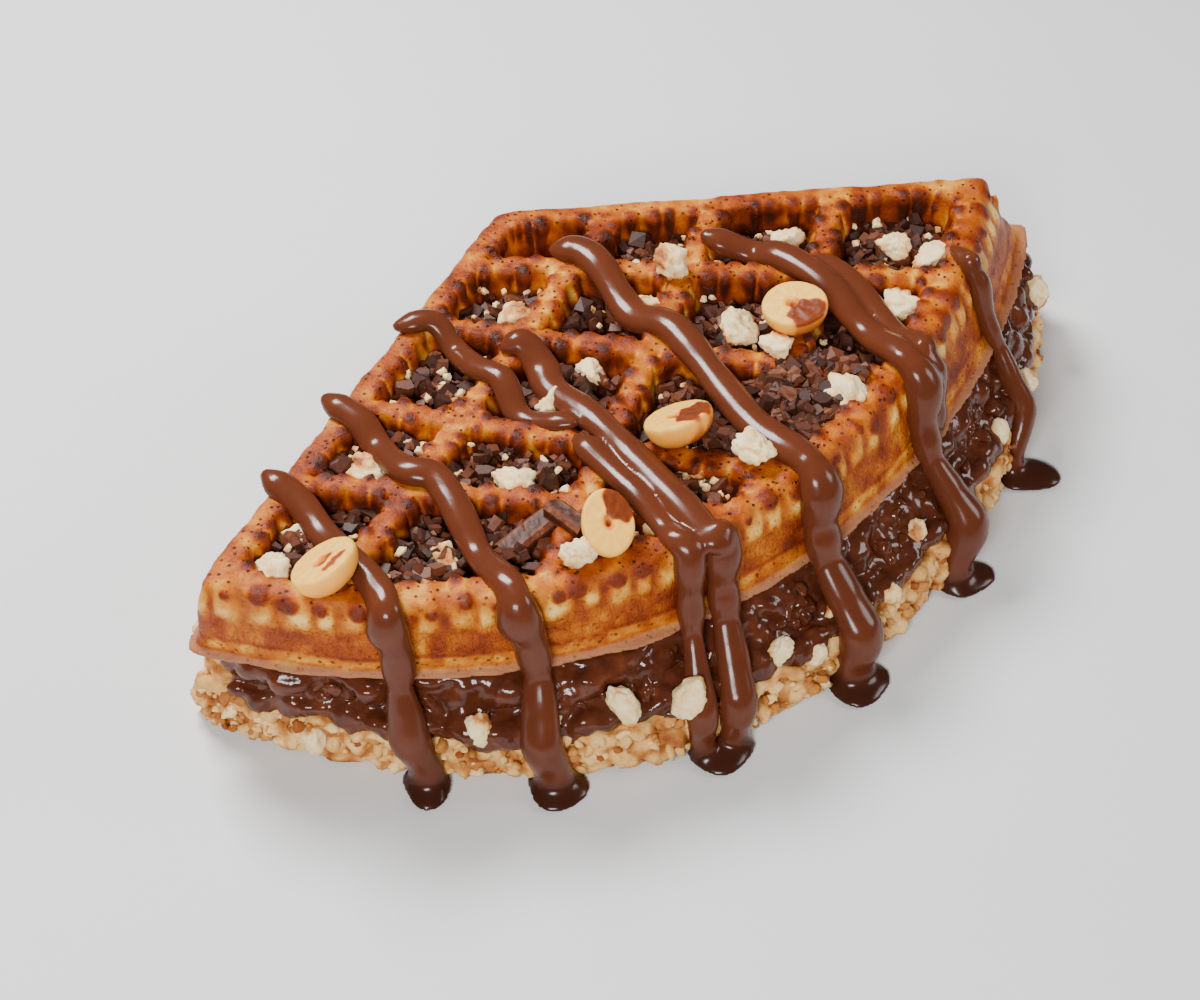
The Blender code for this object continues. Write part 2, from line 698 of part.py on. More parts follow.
def main():
    for old in list(bpy.data.objects):
        bpy.data.objects.remove(old)
    finish(waffle_bottom(), "waffle_bottom")
    finish(cream_filling(), "cream_filling")
    top = waffle_top()
    finish(top, "waffle_top")
    for name, nut in HAZELNUTS.items():
        half = hazelnut(name, nut)
        settle(half, top)
        finish(half, "hazelnut")
    for thing in bpy.data.objects:
        corners = np.array([v.co for v in thing.data.vertices])
        print(thing.name, len(thing.data.polygons), corners.min(0).round(4), corners.max(0).round(4))


main()
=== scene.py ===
"""Looks of the filled belgian waffle: browned crust, sauce, chips, nuts, cream and crumbly base.

Lengths are millimetres in the plan frame of the wedge until thing() turns them into metres round
the middle of its footprint. The main forms are fields, negative inside, that surface() meshes.
"""

import math
import random
from itertools import product

import bmesh
import bpy
import numpy as np
from mathutils import Matrix, Vector, noise as blender_noise

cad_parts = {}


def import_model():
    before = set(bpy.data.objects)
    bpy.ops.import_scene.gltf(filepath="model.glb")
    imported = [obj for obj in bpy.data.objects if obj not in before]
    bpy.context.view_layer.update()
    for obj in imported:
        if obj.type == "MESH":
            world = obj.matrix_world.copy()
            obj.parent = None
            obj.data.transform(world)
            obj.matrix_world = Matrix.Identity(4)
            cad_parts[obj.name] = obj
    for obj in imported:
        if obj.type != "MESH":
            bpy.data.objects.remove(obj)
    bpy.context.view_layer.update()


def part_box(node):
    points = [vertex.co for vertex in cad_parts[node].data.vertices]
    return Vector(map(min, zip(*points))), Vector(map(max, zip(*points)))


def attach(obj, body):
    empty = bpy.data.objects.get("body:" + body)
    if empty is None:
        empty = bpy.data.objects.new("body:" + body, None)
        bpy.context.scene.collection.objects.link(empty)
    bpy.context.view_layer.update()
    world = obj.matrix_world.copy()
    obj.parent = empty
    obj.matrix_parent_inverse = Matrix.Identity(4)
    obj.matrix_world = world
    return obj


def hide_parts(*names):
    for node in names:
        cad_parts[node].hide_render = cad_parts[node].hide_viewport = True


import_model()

MM = 0.001
CENTRE = Vector((-0.7, -2.6, 0.0))

# Heights of the layers
BASE_TOP = 12.0
TOP_UNDER = 25.0
TOP_CREST = 45.0

# Plan of the wedge, and its outline at three levels
APEX = Vector((-33.2, 57.3))
LEFT_CORNER = Vector((-92.1, -61.2))
RIGHT_CORNER = Vector((78.1, 69.8))
RIM = {"centre": (-60.6, 76.4), "radius": 139.3, "left": 1.4, "back": 1.2, "round": 1.4}
LIP = {"centre": (-59.0, 84.7), "radius": 149.5, "left": 4.4, "back": 4.5, "round": 1.8}
BASE = {"centre": (-39.5, 61.4), "radius": 131.7, "left": 6.0, "back": 5.0, "round": 2.4}
SWELL, SWELL_WAVES, SWELL_AT = 2.65, 4.0, -71.6

# The grid of ribs and pockets
ROW_RIBS = [((0.0, 38.0), -2.4), ((0.0, 12.0), -9.5), ((0.0, -19.6), -13.0), ((-49.3, -30.5), -6.0)]
COLUMN_RIBS = [((-16.3, 39.0), 64.4), ((14.0, 54.0), 72.2), ((42.0, 57.0), 77.0)]
RIB_WIDTH = 5.2
RIM_WIDTH = 6.0
POCKET_FLOOR = 33.0
SMALLEST_POCKET = 45.0
EMPTY_POCKETS = {(0, 0)}
UNDERSIDE_DEPTH = 6.0
FLUTE_PITCH = 4.6
FLUTE_DEPTH = 2.3
POCKET_DRAFT = 0.15

# The folded edge of the lower waffle, by angle round the middle
FOLD_START, FOLD_END, FOLD_EASE = 122.0, 209.5, 5.0
FOLD_THICKNESS = 8.0

# Sauce strands: points on top, the angle of the fall at the crest, the lip and the foot
STRANDS = {
    "first": {
        "top": [(-78.3, -28.8), (-71.6, -34.5), (-65.9, -43.0), (-59.0, -53.0), (-54.5, -60.0)],
        "fall": (-129.3, -126.8, -121.9), "end": 1.0, "width": 3.3, "foot": ((-46.0, -73.6), 5.8, 5.6),
    },
    "second": {
        "top": [(-67.4, -6.2), (-61.2, -11.1), (-56.7, -17.1), (-50.5, -26.5), (-44.5, -28.5),
                (-39.8, -36.5), (-34.7, -48.0), (-29.0, -58.0)],
        "fall": (-113.8, -109.4, -104.7), "end": 1.0, "width": 3.4, "foot": ((-19.3, -73.4), 7.4, 6.2),
    },
    "third": {
        "top": [(-53.5, 17.6), (-46.7, 18.9), (-41.3, 13.1), (-37.0, 5.8), (-31.3, 0.8),
                (-27.1, -7.8), (-17.0, -12.5)],
        "width": 3.0, "sag": 7.0,
    },
    "fourth": {
        "top": [(-30.0, 10.8), (-27.0, 11.8), (-23.0, 7.0), (-20.5, 0.0), (-12.1, -9.9),
                (-4.1, -22.1), (5.6, -36.2), (12.0, -45.5)],
        "fall": (-72.6, -72.7, -74.4), "end": 1.0, "width": 3.7, "spread": 1.0,
    },
    "fourth_side": {
        "top": [(-14.5, -18.0), (-8.0, -26.5), (-2.2, -34.5), (2.6, -42.0), (5.2, -46.5)],
        "fall": (-81.4, -81.0, -80.4), "end": 1.0, "width": 3.0, "spread": 1.0, "blend": 0.25,
        "foot": ((15.1, -64.5), 6.6, 6.4),
    },
    "fifth": {
        "top": [(-19.5, 42.8), (-14.9, 42.1), (-10.5, 37.0), (-3.3, 24.0), (3.9, 17.9),
                (8.7, 11.2), (21.4, -11.7), (31.5, -23.0)],
        "fall": (-38.0, -41.8, -45.6), "end": 1.0, "width": 3.9, "foot": ((44.6, -45.6), 6.6, 7.2),
    },
    "sixth": {
        "top": [(14.2, 46.8), (24.0, 44.5), (30.0, 41.0), (39.0, 31.5), (47.9, 18.5), (54.0, 8.5)],
        "fall": (5.0, -3.4, -14.0), "end": 1.0, "width": 3.7, "foot": ((69.4, -15.2), 5.8, 7.6),
    },
    "sixth_side": {
        "top": [(39.0, 39.5), (46.5, 31.0), (53.5, 19.0), (59.0, 12.3)],
        "fall": (9.3, 1.3, -7.5), "end": 26.5, "width": 2.9, "blend": 0.3,
    },
    "seventh": {
        "top": [(69.0, 42.5), (72.0, 38.0)],
        "fall": (28.0, 22.0, 10.8), "end": 1.0, "width": 2.4, "foot": ((87.6, 16.6), 6.0, 6.6),
    },
}
STRAND_FLATNESS = 0.70
SAG = 3.0
FALL_SPREAD = 1.2

# Hazelnut halves: diameters, lean towards -Y and +X, turn, and where the brown patch lies on the face
HAZELNUTS = {
    "hazelnut_1": {"size": (15.2, 12.0), "lean": (-10.0, -22.0), "turn": 44.0},
    "hazelnut_2": {"size": (14.2, 10.8), "lean": (26.0, 10.0), "turn": 98.0, "patch": (-40.0, 0.75)},
    "hazelnut_3": {"size": (15.0, 13.4), "lean": (-22.0, -16.0), "turn": 20.0, "patch": (-40.0, 0.55)},
    "hazelnut_4": {"size": (14.4, 14.0), "lean": (2.0, -6.0), "turn": 0.0, "patch": (-50.0, 0.62)},
}
HAZELNUT_DEPTH = 6.6
# Brown marks on the first half's face, which has no patch: ends and half-width, as shares of its size
FACE_MARKS = [((-0.14, -0.54), (0.44, -0.46), 0.12), ((-0.02, -0.10), (0.26, -0.08), 0.10)]

# Chopped nuts on top: plan and length
CHOPPED_NUTS = [
    (-76.5, -51.2, 9.0), (-71.6, -40.5, 7.0), (-58.5, -23.5, 10.0), (-29.7, 24.5, 9.0), (-12.6, 8.0, 6.5),
    (-20.5, -3.4, 8.0), (5.0, 36.8, 8.5), (0.6, 28.0, 7.0), (15.9, 40.0, 6.5), (31.8, 50.0, 8.5),
    (19.4, 19.0, 10.0), (27.6, 10.0, 6.5), (41.6, -1.5, 11.0), (21.6, -22.2, 9.0), (55.5, 49.1, 7.5),
    (64.0, 44.4, 10.0), (55.6, 29.0, 8.5), (-28.5, -27.5, 10.0), (-19.2, -31.0, 8.0), (0.6, -38.5, 6.0),
    (-15.0, -51.5, 7.0), (-42.0, -46.8, 8.0), (-44.6, -56.0, 6.0), (9.0, -24.5, 6.5), (-47.2, -16.5, 6.0),
]
# Nuts in the cream and on the side: angle round the middle, height, length, width and lean.
# The first lies on a sauce strand, so it stands further out.
ON_SAUCE = 2.6
SIDE_NUTS = [
    (-83.0, 17.0, 12.8, 7.6, 8.0), (-94.7, 17.0, 12.0, 6.4, -26.0), (-116.5, 15.4, 9.6, 6.4, 8.0),
    (-61.8, 16.5, 7.5, 5.6, 30.0), (-31.7, 13.5, 6.5, 4.8, -40.0), (-17.0, 18.0, 6.5, 5.0, 20.0),
    (11.0, 15.5, 6.5, 5.0, 50.0), (20.5, 14.5, 8.0, 6.5, -10.0), (33.7, 16.5, 9.0, 7.0, 15.0),
    (-136.4, 7.2, 8.4, 6.0, 4.0), (-145.8, 8.0, 4.0, 3.2, 0.0), (-72.1, 12.5, 4.2, 3.2, 40.0),
    (-106.4, 16.0, 4.4, 3.2, 60.0), (-54.0, 13.0, 5.5, 4.2, 20.0), (-46.0, 17.5, 4.5, 3.6, 70.0),
]


# Numbers and noise

def srgb(red, green, blue, strength=1.0):
    """A screen colour, 0 to 255, as linear, and stronger than it is where strength is over 1."""
    shares = [value / 255 for value in (red, green, blue)]
    linear = [s / 12.92 if s <= 0.04045 else ((s + 0.055) / 1.055) ** 2.4 for s in shares]
    grey = 0.21 * linear[0] + 0.72 * linear[1] + 0.07 * linear[2]
    return (*(min(0.95, max(0.002, grey + (value - grey) * strength)) for value in linear), 1.0)


def smooth(value):
    """0 below 0, 1 above 1, and an even slope between."""
    value = np.clip(value, 0.0, 1.0)
    return value * value * (3 - 2 * value)


def higher(first, second, blend):
    """The larger of two fields, rounded where they cross."""
    near = np.maximum(blend - np.abs(first - second), 0.0) / blend
    return np.maximum(first, second) + near * near * blend / 4


def lower(first, second, blend):
    return -higher(-first, -second, blend)


def near(value, middle, width):
    """1 at a middle value, and towards 0 about a width away from it."""
    return np.exp(-(((value - middle) / width) ** 2))


LATTICE = 48


def noise(x, y, z, size, seed, octaves=1):
    """Uneven values of about -1 to 1, with lumps of about the size given."""
    total, weight = 0.0, 1.0
    for octave in range(octaves):
        table = np.random.default_rng(seed + octave).uniform(-1.4, 1.4, (LATTICE,) * 3)
        table = table.astype(np.float32)
        cells, shares = [], []
        for value in (x, y, z):
            scaled = np.asarray(value, np.float32) * (2**octave / size) + 100.37
            cell = np.floor(scaled)
            share = scaled - cell
            cells.append(cell.astype(np.int32))
            shares.append(share * share * (3 - 2 * share))
        part = 0.0
        for corner in product((0, 1), repeat=3):
            spot = table[tuple((cell + step) % LATTICE for cell, step in zip(cells, corner))]
            near_corner = (share if step else 1 - share for share, step in zip(shares, corner))
            part = part + spot * math.prod(near_corner)
        total = total + part * weight
        weight *= 0.5
    return total


def seed_distance(points, size, seed):
    """Each point's distance to the nearest of a field of scattered seeds, in their spacing."""
    table = np.random.default_rng(seed).uniform(0.1, 0.9, (LATTICE, LATTICE, LATTICE, 3)).astype(np.float32)
    scaled = points / size + 100.0
    home = np.floor(scaled).astype(int)
    nearest = np.full(len(points), 9.0)
    for step in product((-1, 0, 1), repeat=3):
        cell = home + step
        place = cell + table[tuple((cell % LATTICE).T)]
        nearest = np.minimum(nearest, np.sqrt(((place - scaled) ** 2).sum(1)))
    return nearest


# Plan of the wedge

def line_distance(x, y, first, second):
    """How far a point is outside the line through two corners."""
    along = (second - first).normalized()
    normal = Vector((along.y, -along.x))
    if normal.dot(first) < 0:
        normal.negate()
    return x * normal.x + y * normal.y - normal.dot(first)


def outline_sides(x, y, level):
    """Distances outside the left cut, the back cut and the swelling round front."""
    across, up = x - level["centre"][0], y - level["centre"][1]
    swell = SWELL * np.cos(SWELL_WAVES * (np.arctan2(up, across) - math.radians(SWELL_AT)))
    return (
        line_distance(x, y, APEX, LEFT_CORNER) - level["left"],
        line_distance(x, y, APEX, RIGHT_CORNER) - level["back"],
        np.hypot(across, up) - level["radius"] - swell,
    )


def outline_distance(x, y, level):
    """How far a point is outside a level's outline, whose corners are rounded."""
    sides = outline_sides(x, y, level)
    blend = level["round"]
    highest = np.maximum(np.maximum(sides[0], sides[1]), sides[2])
    return highest + blend * np.log(sum(np.exp((side - highest) / blend) for side in sides))


def plan_of(x, y):
    """The two plan axes of a grid as full arrays, without the height."""
    return (x + 0 * y)[:, :, 0], (y + 0 * x)[:, :, 0]


def edge_run(x, y, level):
    """Length along the edge beside a point, for what repeats along it."""
    sides = outline_sides(x, y, level)
    left = (LEFT_CORNER - APEX).normalized()
    back = (RIGHT_CORNER - APEX).normalized()
    turn = np.arctan2(y - level["centre"][1], x - level["centre"][0])
    front = turn * level["radius"]
    first = np.where(sides[0] > sides[1], x * left.x + y * left.y, x * back.x + y * back.y)
    return np.where(sides[2] > np.maximum(sides[0], sides[1]), front, first)


def outline_radius(level, degrees, inset=0.0):
    """Distance from the middle to a level's outline, found by halving."""
    angle = math.radians(degrees)
    inner, outer = 5.0, 140.0
    for _ in range(22):
        middle = (inner + outer) / 2
        distance = outline_distance(middle * math.cos(angle), middle * math.sin(angle), level)
        inner, outer = (middle, outer) if distance < -inset else (inner, middle)
    return (inner + outer) / 2


def side_radius(degrees, z):
    """The side of the stack at a height: straight, out to the lip, and further out below it."""
    base, lip = outline_radius(BASE, degrees), outline_radius(LIP, degrees)
    if z <= BASE_TOP:
        return base
    if z <= TOP_UNDER:
        return base + (lip - base) * (z - BASE_TOP) / (TOP_UNDER - BASE_TOP)
    return lip + (outline_radius(RIM, degrees) - lip) * (z - TOP_UNDER) / (TOP_CREST - TOP_UNDER)


def at_angle(radius, degrees, z):
    angle = math.radians(degrees)
    return Vector((radius * math.cos(angle), radius * math.sin(angle), z))


def fold_share(x, y):
    """1 along the folded edge of the lower waffle, and 0 away from it."""
    degrees = np.degrees(np.arctan2(y, x)) % 360.0
    begun = smooth((degrees - FOLD_START + FOLD_EASE) / FOLD_EASE)
    return begun * smooth((FOLD_END + FOLD_EASE - degrees) / FOLD_EASE)


# Pockets

def sides_of(polygon):
    """The two ends of each of a polygon's sides."""
    return list(zip(polygon, polygon[1:] + polygon[:1]))


def middle_of(polygon):
    return sum(polygon, Vector((0, 0))) / len(polygon)


def clip(polygon, point, normal, offset):
    """The part of a convex polygon on the side of a line that normal points to."""
    kept = []
    for first, second in sides_of(polygon):
        here = (first - point).dot(normal) - offset
        there = (second - point).dot(normal) - offset
        if here >= 0:
            kept.append(first)
        if here * there < 0:
            kept.append(first + (second - first) * (here / (here - there)))
    return kept


def rib_normal(rib):
    """Unit normal of a rib's line: towards -Y for a row rib, towards +X for a column rib."""
    angle = math.radians(rib[1])
    return Vector((math.sin(angle), -math.cos(angle)))


def area_of(polygon):
    return abs(sum(a.x * b.y - b.x * a.y for a, b in sides_of(polygon))) / 2


def straightened(polygon):
    """The polygon without the points that lie on a nearly straight run."""
    kept = []
    for i, here in enumerate(polygon):
        before, after = polygon[i - 1], polygon[(i + 1) % len(polygon)]
        bend = abs((here - before).normalized().cross((after - here).normalized()))
        if (here - before).length > 0.5 and bend > 0.12:
            kept.append(here)
    return kept if len(kept) > 2 else polygon


def pockets():
    """(row, column, polygon) of each pocket's mouth."""
    inside = [at_angle(outline_radius(RIM, a, RIM_WIDTH), a, 0).to_2d() for a in range(0, 360, 4)]
    found = []
    for row in range(len(ROW_RIBS) + 1):
        for column in range(len(COLUMN_RIBS) + 1):
            polygon = inside
            for ribs, place in ((ROW_RIBS, row), (COLUMN_RIBS, column)):
                if place > 0:
                    rib = ribs[place - 1]
                    polygon = clip(polygon, Vector(rib[0]), rib_normal(rib), RIB_WIDTH / 2)
                if place < len(ribs) and polygon:
                    rib = ribs[place]
                    polygon = clip(polygon, Vector(rib[0]), -rib_normal(rib), RIB_WIDTH / 2)
            if len(polygon) > 2 and area_of(polygon) > SMALLEST_POCKET:
                found.append((row, column, straightened(polygon)))
    return found


POCKETS = pockets()


def pocket_walls(x, y):
    """Distances outside the nearest pocket, plain and fluted, its flute there, and how its wall faces."""
    plain = np.full(np.shape(x + y), 50.0)
    fluted, flute, facing = plain.copy(), plain * 0, plain * 0
    for number, (_, _, polygon) in enumerate(POCKETS):
        middle = middle_of(polygon)
        own_plain = own_fluted = highest = plain * 0 - 50.0
        own_flute = own_facing = plain * 0
        for side_number, (first, second) in enumerate(sides_of(polygon)):
            side = second - first
            along = side.normalized()
            normal = Vector((side.y, -side.x)).normalized()
            if normal.dot(first - middle) < 0:
                normal.negate()
            distance = (x - first.x) * normal.x + (y - first.y) * normal.y
            run = (x - first.x) * along.x + (y - first.y) * along.y
            count = max(2, round(side.length / FLUTE_PITCH))
            seed = 31 * number + side_number
            wander = 0.35 * np.sin(run * 0.9 + seed) + 0.2 * np.sin(run * 1.7 + 2.1 * seed)
            bulge = np.abs(np.sin(math.pi * (run / side.length * count) + wander)) ** 0.8
            bulge = bulge * (0.8 + 0.3 * np.sin(run * 0.63 + 1.7 * seed))
            own_plain = higher(own_plain, distance, 1.8)
            own_fluted = higher(own_fluted, distance + FLUTE_DEPTH * (bulge - 0.5), 0.9)
            here = distance > highest
            own_flute = np.where(here, bulge, own_flute)
            own_facing = np.where(here, normal.y, own_facing)
            highest = np.where(here, distance, highest)
        nearer = own_plain < plain
        plain = np.where(nearer, own_plain, plain)
        fluted = np.where(nearer, own_fluted, fluted)
        flute = np.where(nearer, own_flute, flute)
        facing = np.where(nearer, own_facing, facing)
    return plain, fluted, flute, facing


# Meshes

def surface(value, origin, step):
    """Points and quads of the surface where a grid of values changes sign; inside is negative."""
    inside = value < 0
    corners = [slice(0, -1), slice(1, None)]
    count = sum(inside[a, b, c].astype(np.int8) for a in corners for b in corners for c in corners)
    active = (count > 0) & (count < 8)
    index = np.full(active.shape, -1, np.int64)
    index[active] = np.arange(active.sum())
    cell = np.stack(np.nonzero(active), 1)
    total = np.zeros((len(cell), 3))
    hits = np.zeros(len(cell))
    for axis in range(3):
        unit = np.eye(3, dtype=int)[axis]
        for a in (0, 1):
            for b in (0, 1):
                offset = np.zeros(3, int)
                offset[(axis + 1) % 3], offset[(axis + 2) % 3] = a, b
                low, high = cell + offset, cell + offset + unit
                v0, v1 = value[tuple(low.T)], value[tuple(high.T)]
                crossing = (v0 < 0) != (v1 < 0)
                share = np.where(crossing, v0 / np.where(crossing, v0 - v1, 1.0), 0.0)
                total += (offset + share[:, None] * unit) * crossing[:, None]
                hits += crossing
    points = (cell + total / hits[:, None]) * step + np.asarray(origin)
    quads = []
    for axis in range(3):
        u, v = (axis + 1) % 3, (axis + 2) % 3
        start, end = [slice(None)] * 3, [slice(None)] * 3
        start[axis], end[axis] = corners
        first, second = inside[tuple(start)], inside[tuple(end)]
        place = np.stack(np.nonzero(first != second), 1)
        keep = (place[:, u] > 0) & (place[:, v] > 0)
        keep &= (place[:, u] < value.shape[u] - 1) & (place[:, v] < value.shape[v] - 1)
        place = place[keep]
        outward = first[tuple(place.T)]
        ring = []
        for a, b in ((-1, -1), (0, -1), (0, 0), (-1, 0)):
            spot = place.copy()
            spot[:, u] += a
            spot[:, v] += b
            ring.append(index[tuple(spot.T)])
        ring = np.stack(ring, 1)
        quads.append(np.where(outward[:, None], ring, ring[:, ::-1]))
    return points, np.concatenate(quads)


def relax(points, quads, turns, share=0.5):
    """Evens out a mesh by moving each point towards its neighbours."""
    edges = np.concatenate([quads[:, [0, 1]], quads[:, [1, 2]], quads[:, [2, 3]], quads[:, [3, 0]]])
    count = np.bincount(edges.ravel(), minlength=len(points))
    for _ in range(turns):
        total = np.stack([
            np.bincount(edges[:, 0], points[edges[:, 1], k], len(points))
            + np.bincount(edges[:, 1], points[edges[:, 0], k], len(points))
            for k in range(3)
        ], 1)
        points = points + (total / count[:, None] - points) * share
    return points


def normals_of(points, quads):
    """Outward unit normals at the points of a mesh."""
    corner = points[quads]
    facing = np.cross(corner[:, 2] - corner[:, 0], corner[:, 3] - corner[:, 1])
    total = np.stack([
        sum(np.bincount(quads[:, k], facing[:, axis], len(points)) for k in range(4)) for axis in range(3)
    ], 1)
    return total / np.maximum(np.linalg.norm(total, axis=1), 1e-9)[:, None]


def lumpy(points, quads, share, size, height, seed):
    """Raises rounded lumps of a size with creases between them, where share is 1."""
    nearest = seed_distance(points, size, seed)
    rise = height * (0.5 - np.minimum(nearest, 1.1) ** 1.5)
    return points + normals_of(points, quads) * (rise * share)[:, None]


def grid(low, high, step):
    """The three axes of a grid, as arrays that spread over each other."""
    axes = [np.arange(a, b + step, step) for a, b in zip(low, high)]
    return axes[0][:, None, None], axes[1][None, :, None], axes[2][None, None, :]


LOW, HIGH = (-99.0, -86.0), (98.0, 82.0)


def meshed(field, low, high, step):
    """Points and quads of a field's surface between two heights."""
    axes = grid((*LOW, low), (*HIGH, high), step)
    return surface(field(*axes), [axis.min() for axis in axes], step)


def thing(name, points, faces, material, attributes=None, soft=True):
    """A named object from points in millimetres."""
    mesh = bpy.data.meshes.new(name)
    placed = (np.asarray(points, float) - np.array(CENTRE)) * MM
    mesh.from_pydata(placed.tolist(), [], faces.tolist() if hasattr(faces, "tolist") else faces)
    for label, values in (attributes or {}).items():
        layer = mesh.attributes.new(label, "FLOAT", "POINT")
        layer.data.foreach_set("value", np.asarray(values, np.float32))
    mesh.materials.append(material)
    if soft:
        mesh.shade_smooth()
    made = bpy.data.objects.new(name, mesh)
    bpy.context.scene.collection.objects.link(made)
    return made


def dress(piece, slot, *nodes):
    """Hangs a piece on the root body and hides the solids it stands for; slot is not used."""
    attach(piece, "root")
    if nodes:
        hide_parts(*nodes)
    return piece


# Materials

def node(tree, kind, inputs=None, **settings):
    """Adds a shader node; an input is a value or another node's socket."""
    made = tree.nodes.new("ShaderNode" + kind)
    for name, value in settings.items():
        setattr(made, name, value)
    for name, value in (inputs or {}).items():
        if isinstance(value, bpy.types.NodeSocket):
            tree.links.new(value, made.inputs[name])
        else:
            made.inputs[name].default_value = value
    return made


def calculate(tree, operation, first, second=0.0):
    return node(tree, "Math", {0: first, 1: second}, operation=operation).outputs[0]


def object_noise(tree, size, detail=3.0, roughness=0.55, distortion=0.0):
    """Noise with features of a size in millimetres, 0 to 1."""
    place = node(tree, "TexCoord").outputs["Object"]
    return node(tree, "TexNoise", {
        "Vector": place, "Scale": 1 / (size * MM), "Detail": detail,
        "Roughness": roughness, "Distortion": distortion,
    }).outputs["Fac"]


def uneven(tree, value, size, weight, middle=0.5, *look):
    """A value with noise of a size added; the noise adds nothing at its middle."""
    cloud = calculate(tree, "SUBTRACT", object_noise(tree, size, *(look or (4.0,))), middle)
    return calculate(tree, "ADD", value, calculate(tree, "MULTIPLY", cloud, weight))


def ramp(tree, value, stops):
    """Colours by value; a stop is its place and what srgb() takes."""
    made = node(tree, "ValToRGB", {"Fac": value})
    elements = made.color_ramp.elements
    while len(elements) < len(stops):
        elements.new(0.5)
    for element, (place, *colour) in zip(elements, stops):
        element.position = place
        element.color = srgb(*colour)
    return made.outputs["Color"]


def mixed(tree, share, first, second):
    made = node(tree, "Mix", data_type="RGBA", blend_type="MIX")
    for socket, value in zip((made.inputs[0], made.inputs[6], made.inputs[7]), (share, first, second)):
        if isinstance(value, bpy.types.NodeSocket):
            tree.links.new(value, socket)
        else:
            socket.default_value = value
    return made.outputs[2]


def attribute(tree, name):
    return node(tree, "Attribute", attribute_name=name).outputs["Fac"]


def new_material(name, roughness, **constants):
    """A material and its tree; constants are values set on the shader's own sockets."""
    material = bpy.data.materials.new(name)
    material.use_nodes = True
    shader = material.node_tree.nodes["Principled BSDF"]
    shader.inputs["Roughness"].default_value = roughness
    for label, value in constants.items():
        shader.inputs[label.replace("_", " ")].default_value = value
    return material, material.node_tree, shader


def paint(tree, shader, colour, height, strength, distance):
    """Gives the shader its colour and a bump of a distance in millimetres."""
    tree.links.new(colour, shader.inputs["Base Color"])
    made = node(tree, "Bump", {"Height": height, "Strength": strength, "Distance": distance * MM})
    tree.links.new(made.outputs["Normal"], shader.inputs["Normal"])


def edges_of(tree, value, start, end):
    """1 below start, 0 above end."""
    share = node(tree, "MapRange", {"Value": value, "From Min": start, "From Max": end}).outputs[0]
    return calculate(tree, "SUBTRACT", 1.0, share)


def pores(tree, size, radius):
    """1 in small scattered round pores, and 0 between them; both sizes in millimetres."""
    place = node(tree, "TexCoord").outputs["Object"]
    spots = node(tree, "TexVoronoi", {"Vector": place, "Scale": 1 / (size * MM), "Randomness": 1.0})
    edge = radius / size
    return edges_of(tree, spots.outputs["Distance"], edge * 0.6, edge)


def net(tree, size, width):
    """1 on the thin crooked lines of a net with cells of a size in millimetres, and 0 off them."""
    place = node(tree, "TexCoord").outputs["Object"]
    swirl = node(tree, "TexNoise", {"Vector": place, "Scale": 1 / (2.5 * MM), "Detail": 2.0})
    swirl = swirl.outputs["Color"]
    moved = node(tree, "VectorMath", {0: swirl, 1: (2.2 * MM,) * 3}, operation="MULTIPLY").outputs[0]
    place = node(tree, "VectorMath", {0: place, 1: moved}, operation="ADD").outputs[0]
    place = node(tree, "VectorMath", {0: place, 1: (1.0, 1.0, 0.4)}, operation="MULTIPLY").outputs[0]
    lines = node(tree, "TexVoronoi", {"Vector": place, "Scale": 1 / (size * MM)}, feature="DISTANCE_TO_EDGE")
    return edges_of(tree, lines.outputs["Distance"], width * 0.4, width)


def crust_material():
    material, tree, shader = new_material("crust", 0.34, Specular_IOR_Level=0.18)
    brown = attribute(tree, "brown")
    for size, weight in ((5.0, 0.13), (1.1, 0.24)):
        brown = uneven(tree, brown, size, weight, 0.5, 4.0, 0.6, 0.4)
    colour = ramp(tree, brown, [
        (0.00, 240, 196, 108), (0.14, 218, 152, 56), (0.30, 184, 106, 28, 1.1), (0.45, 152, 72, 17, 1.1),
        (0.60, 118, 46, 13, 1.1), (0.78, 86, 30, 10), (1.00, 56, 21, 9),
    ])
    colour = mixed(tree, attribute(tree, "lip"), colour, srgb(164, 108, 76))
    cracks = calculate(tree, "MULTIPLY", net(tree, 1.9, 0.07), attribute(tree, "walled"))
    colour = mixed(tree, calculate(tree, "MULTIPLY", cracks, 0.45), colour, srgb(150, 62, 14))
    holes = calculate(tree, "MULTIPLY", pores(tree, 1.8, 0.40), attribute(tree, "pored"))
    in_row = calculate(tree, "MULTIPLY", pores(tree, 1.7, 0.48), attribute(tree, "row"))
    holes = calculate(tree, "MAXIMUM", holes, in_row)
    colour = mixed(tree, calculate(tree, "MULTIPLY", holes, 0.9), colour, srgb(40, 18, 9))
    height = object_noise(tree, 0.9, 5.0, 0.65)
    for dents, depth in ((holes, -1.2), (cracks, -0.5), (pores(tree, 0.95, 0.22), -0.35)):
        height = calculate(tree, "ADD", height, calculate(tree, "MULTIPLY", dents, depth))
    paint(tree, shader, colour, height, 0.85, 0.34)
    gloss = node(tree, "MapRange", {"Value": object_noise(tree, 2.2), "To Min": 0.24, "To Max": 0.46})
    tree.links.new(gloss.outputs[0], shader.inputs["Roughness"])
    return material


def sauce_material():
    material, tree, shader = new_material(
        "sauce", 0.19, Specular_IOR_Level=0.24, Subsurface_Weight=0.06, Subsurface_Scale=0.001,
    )
    # Painted shade: the thin attribute makes the sauce darker near the floor.
    colour = mixed(tree, attribute(tree, "thin"), srgb(98, 48, 28), srgb(46, 22, 14))
    cloud = node(tree, "MapRange", {"Value": object_noise(tree, 6.0), "To Min": 0.0, "To Max": 0.5})
    colour = mixed(tree, cloud.outputs[0], colour, srgb(64, 31, 19))
    paint(tree, shader, colour, object_noise(tree, 5.0, 1.5), 0.12, 0.4)
    return material


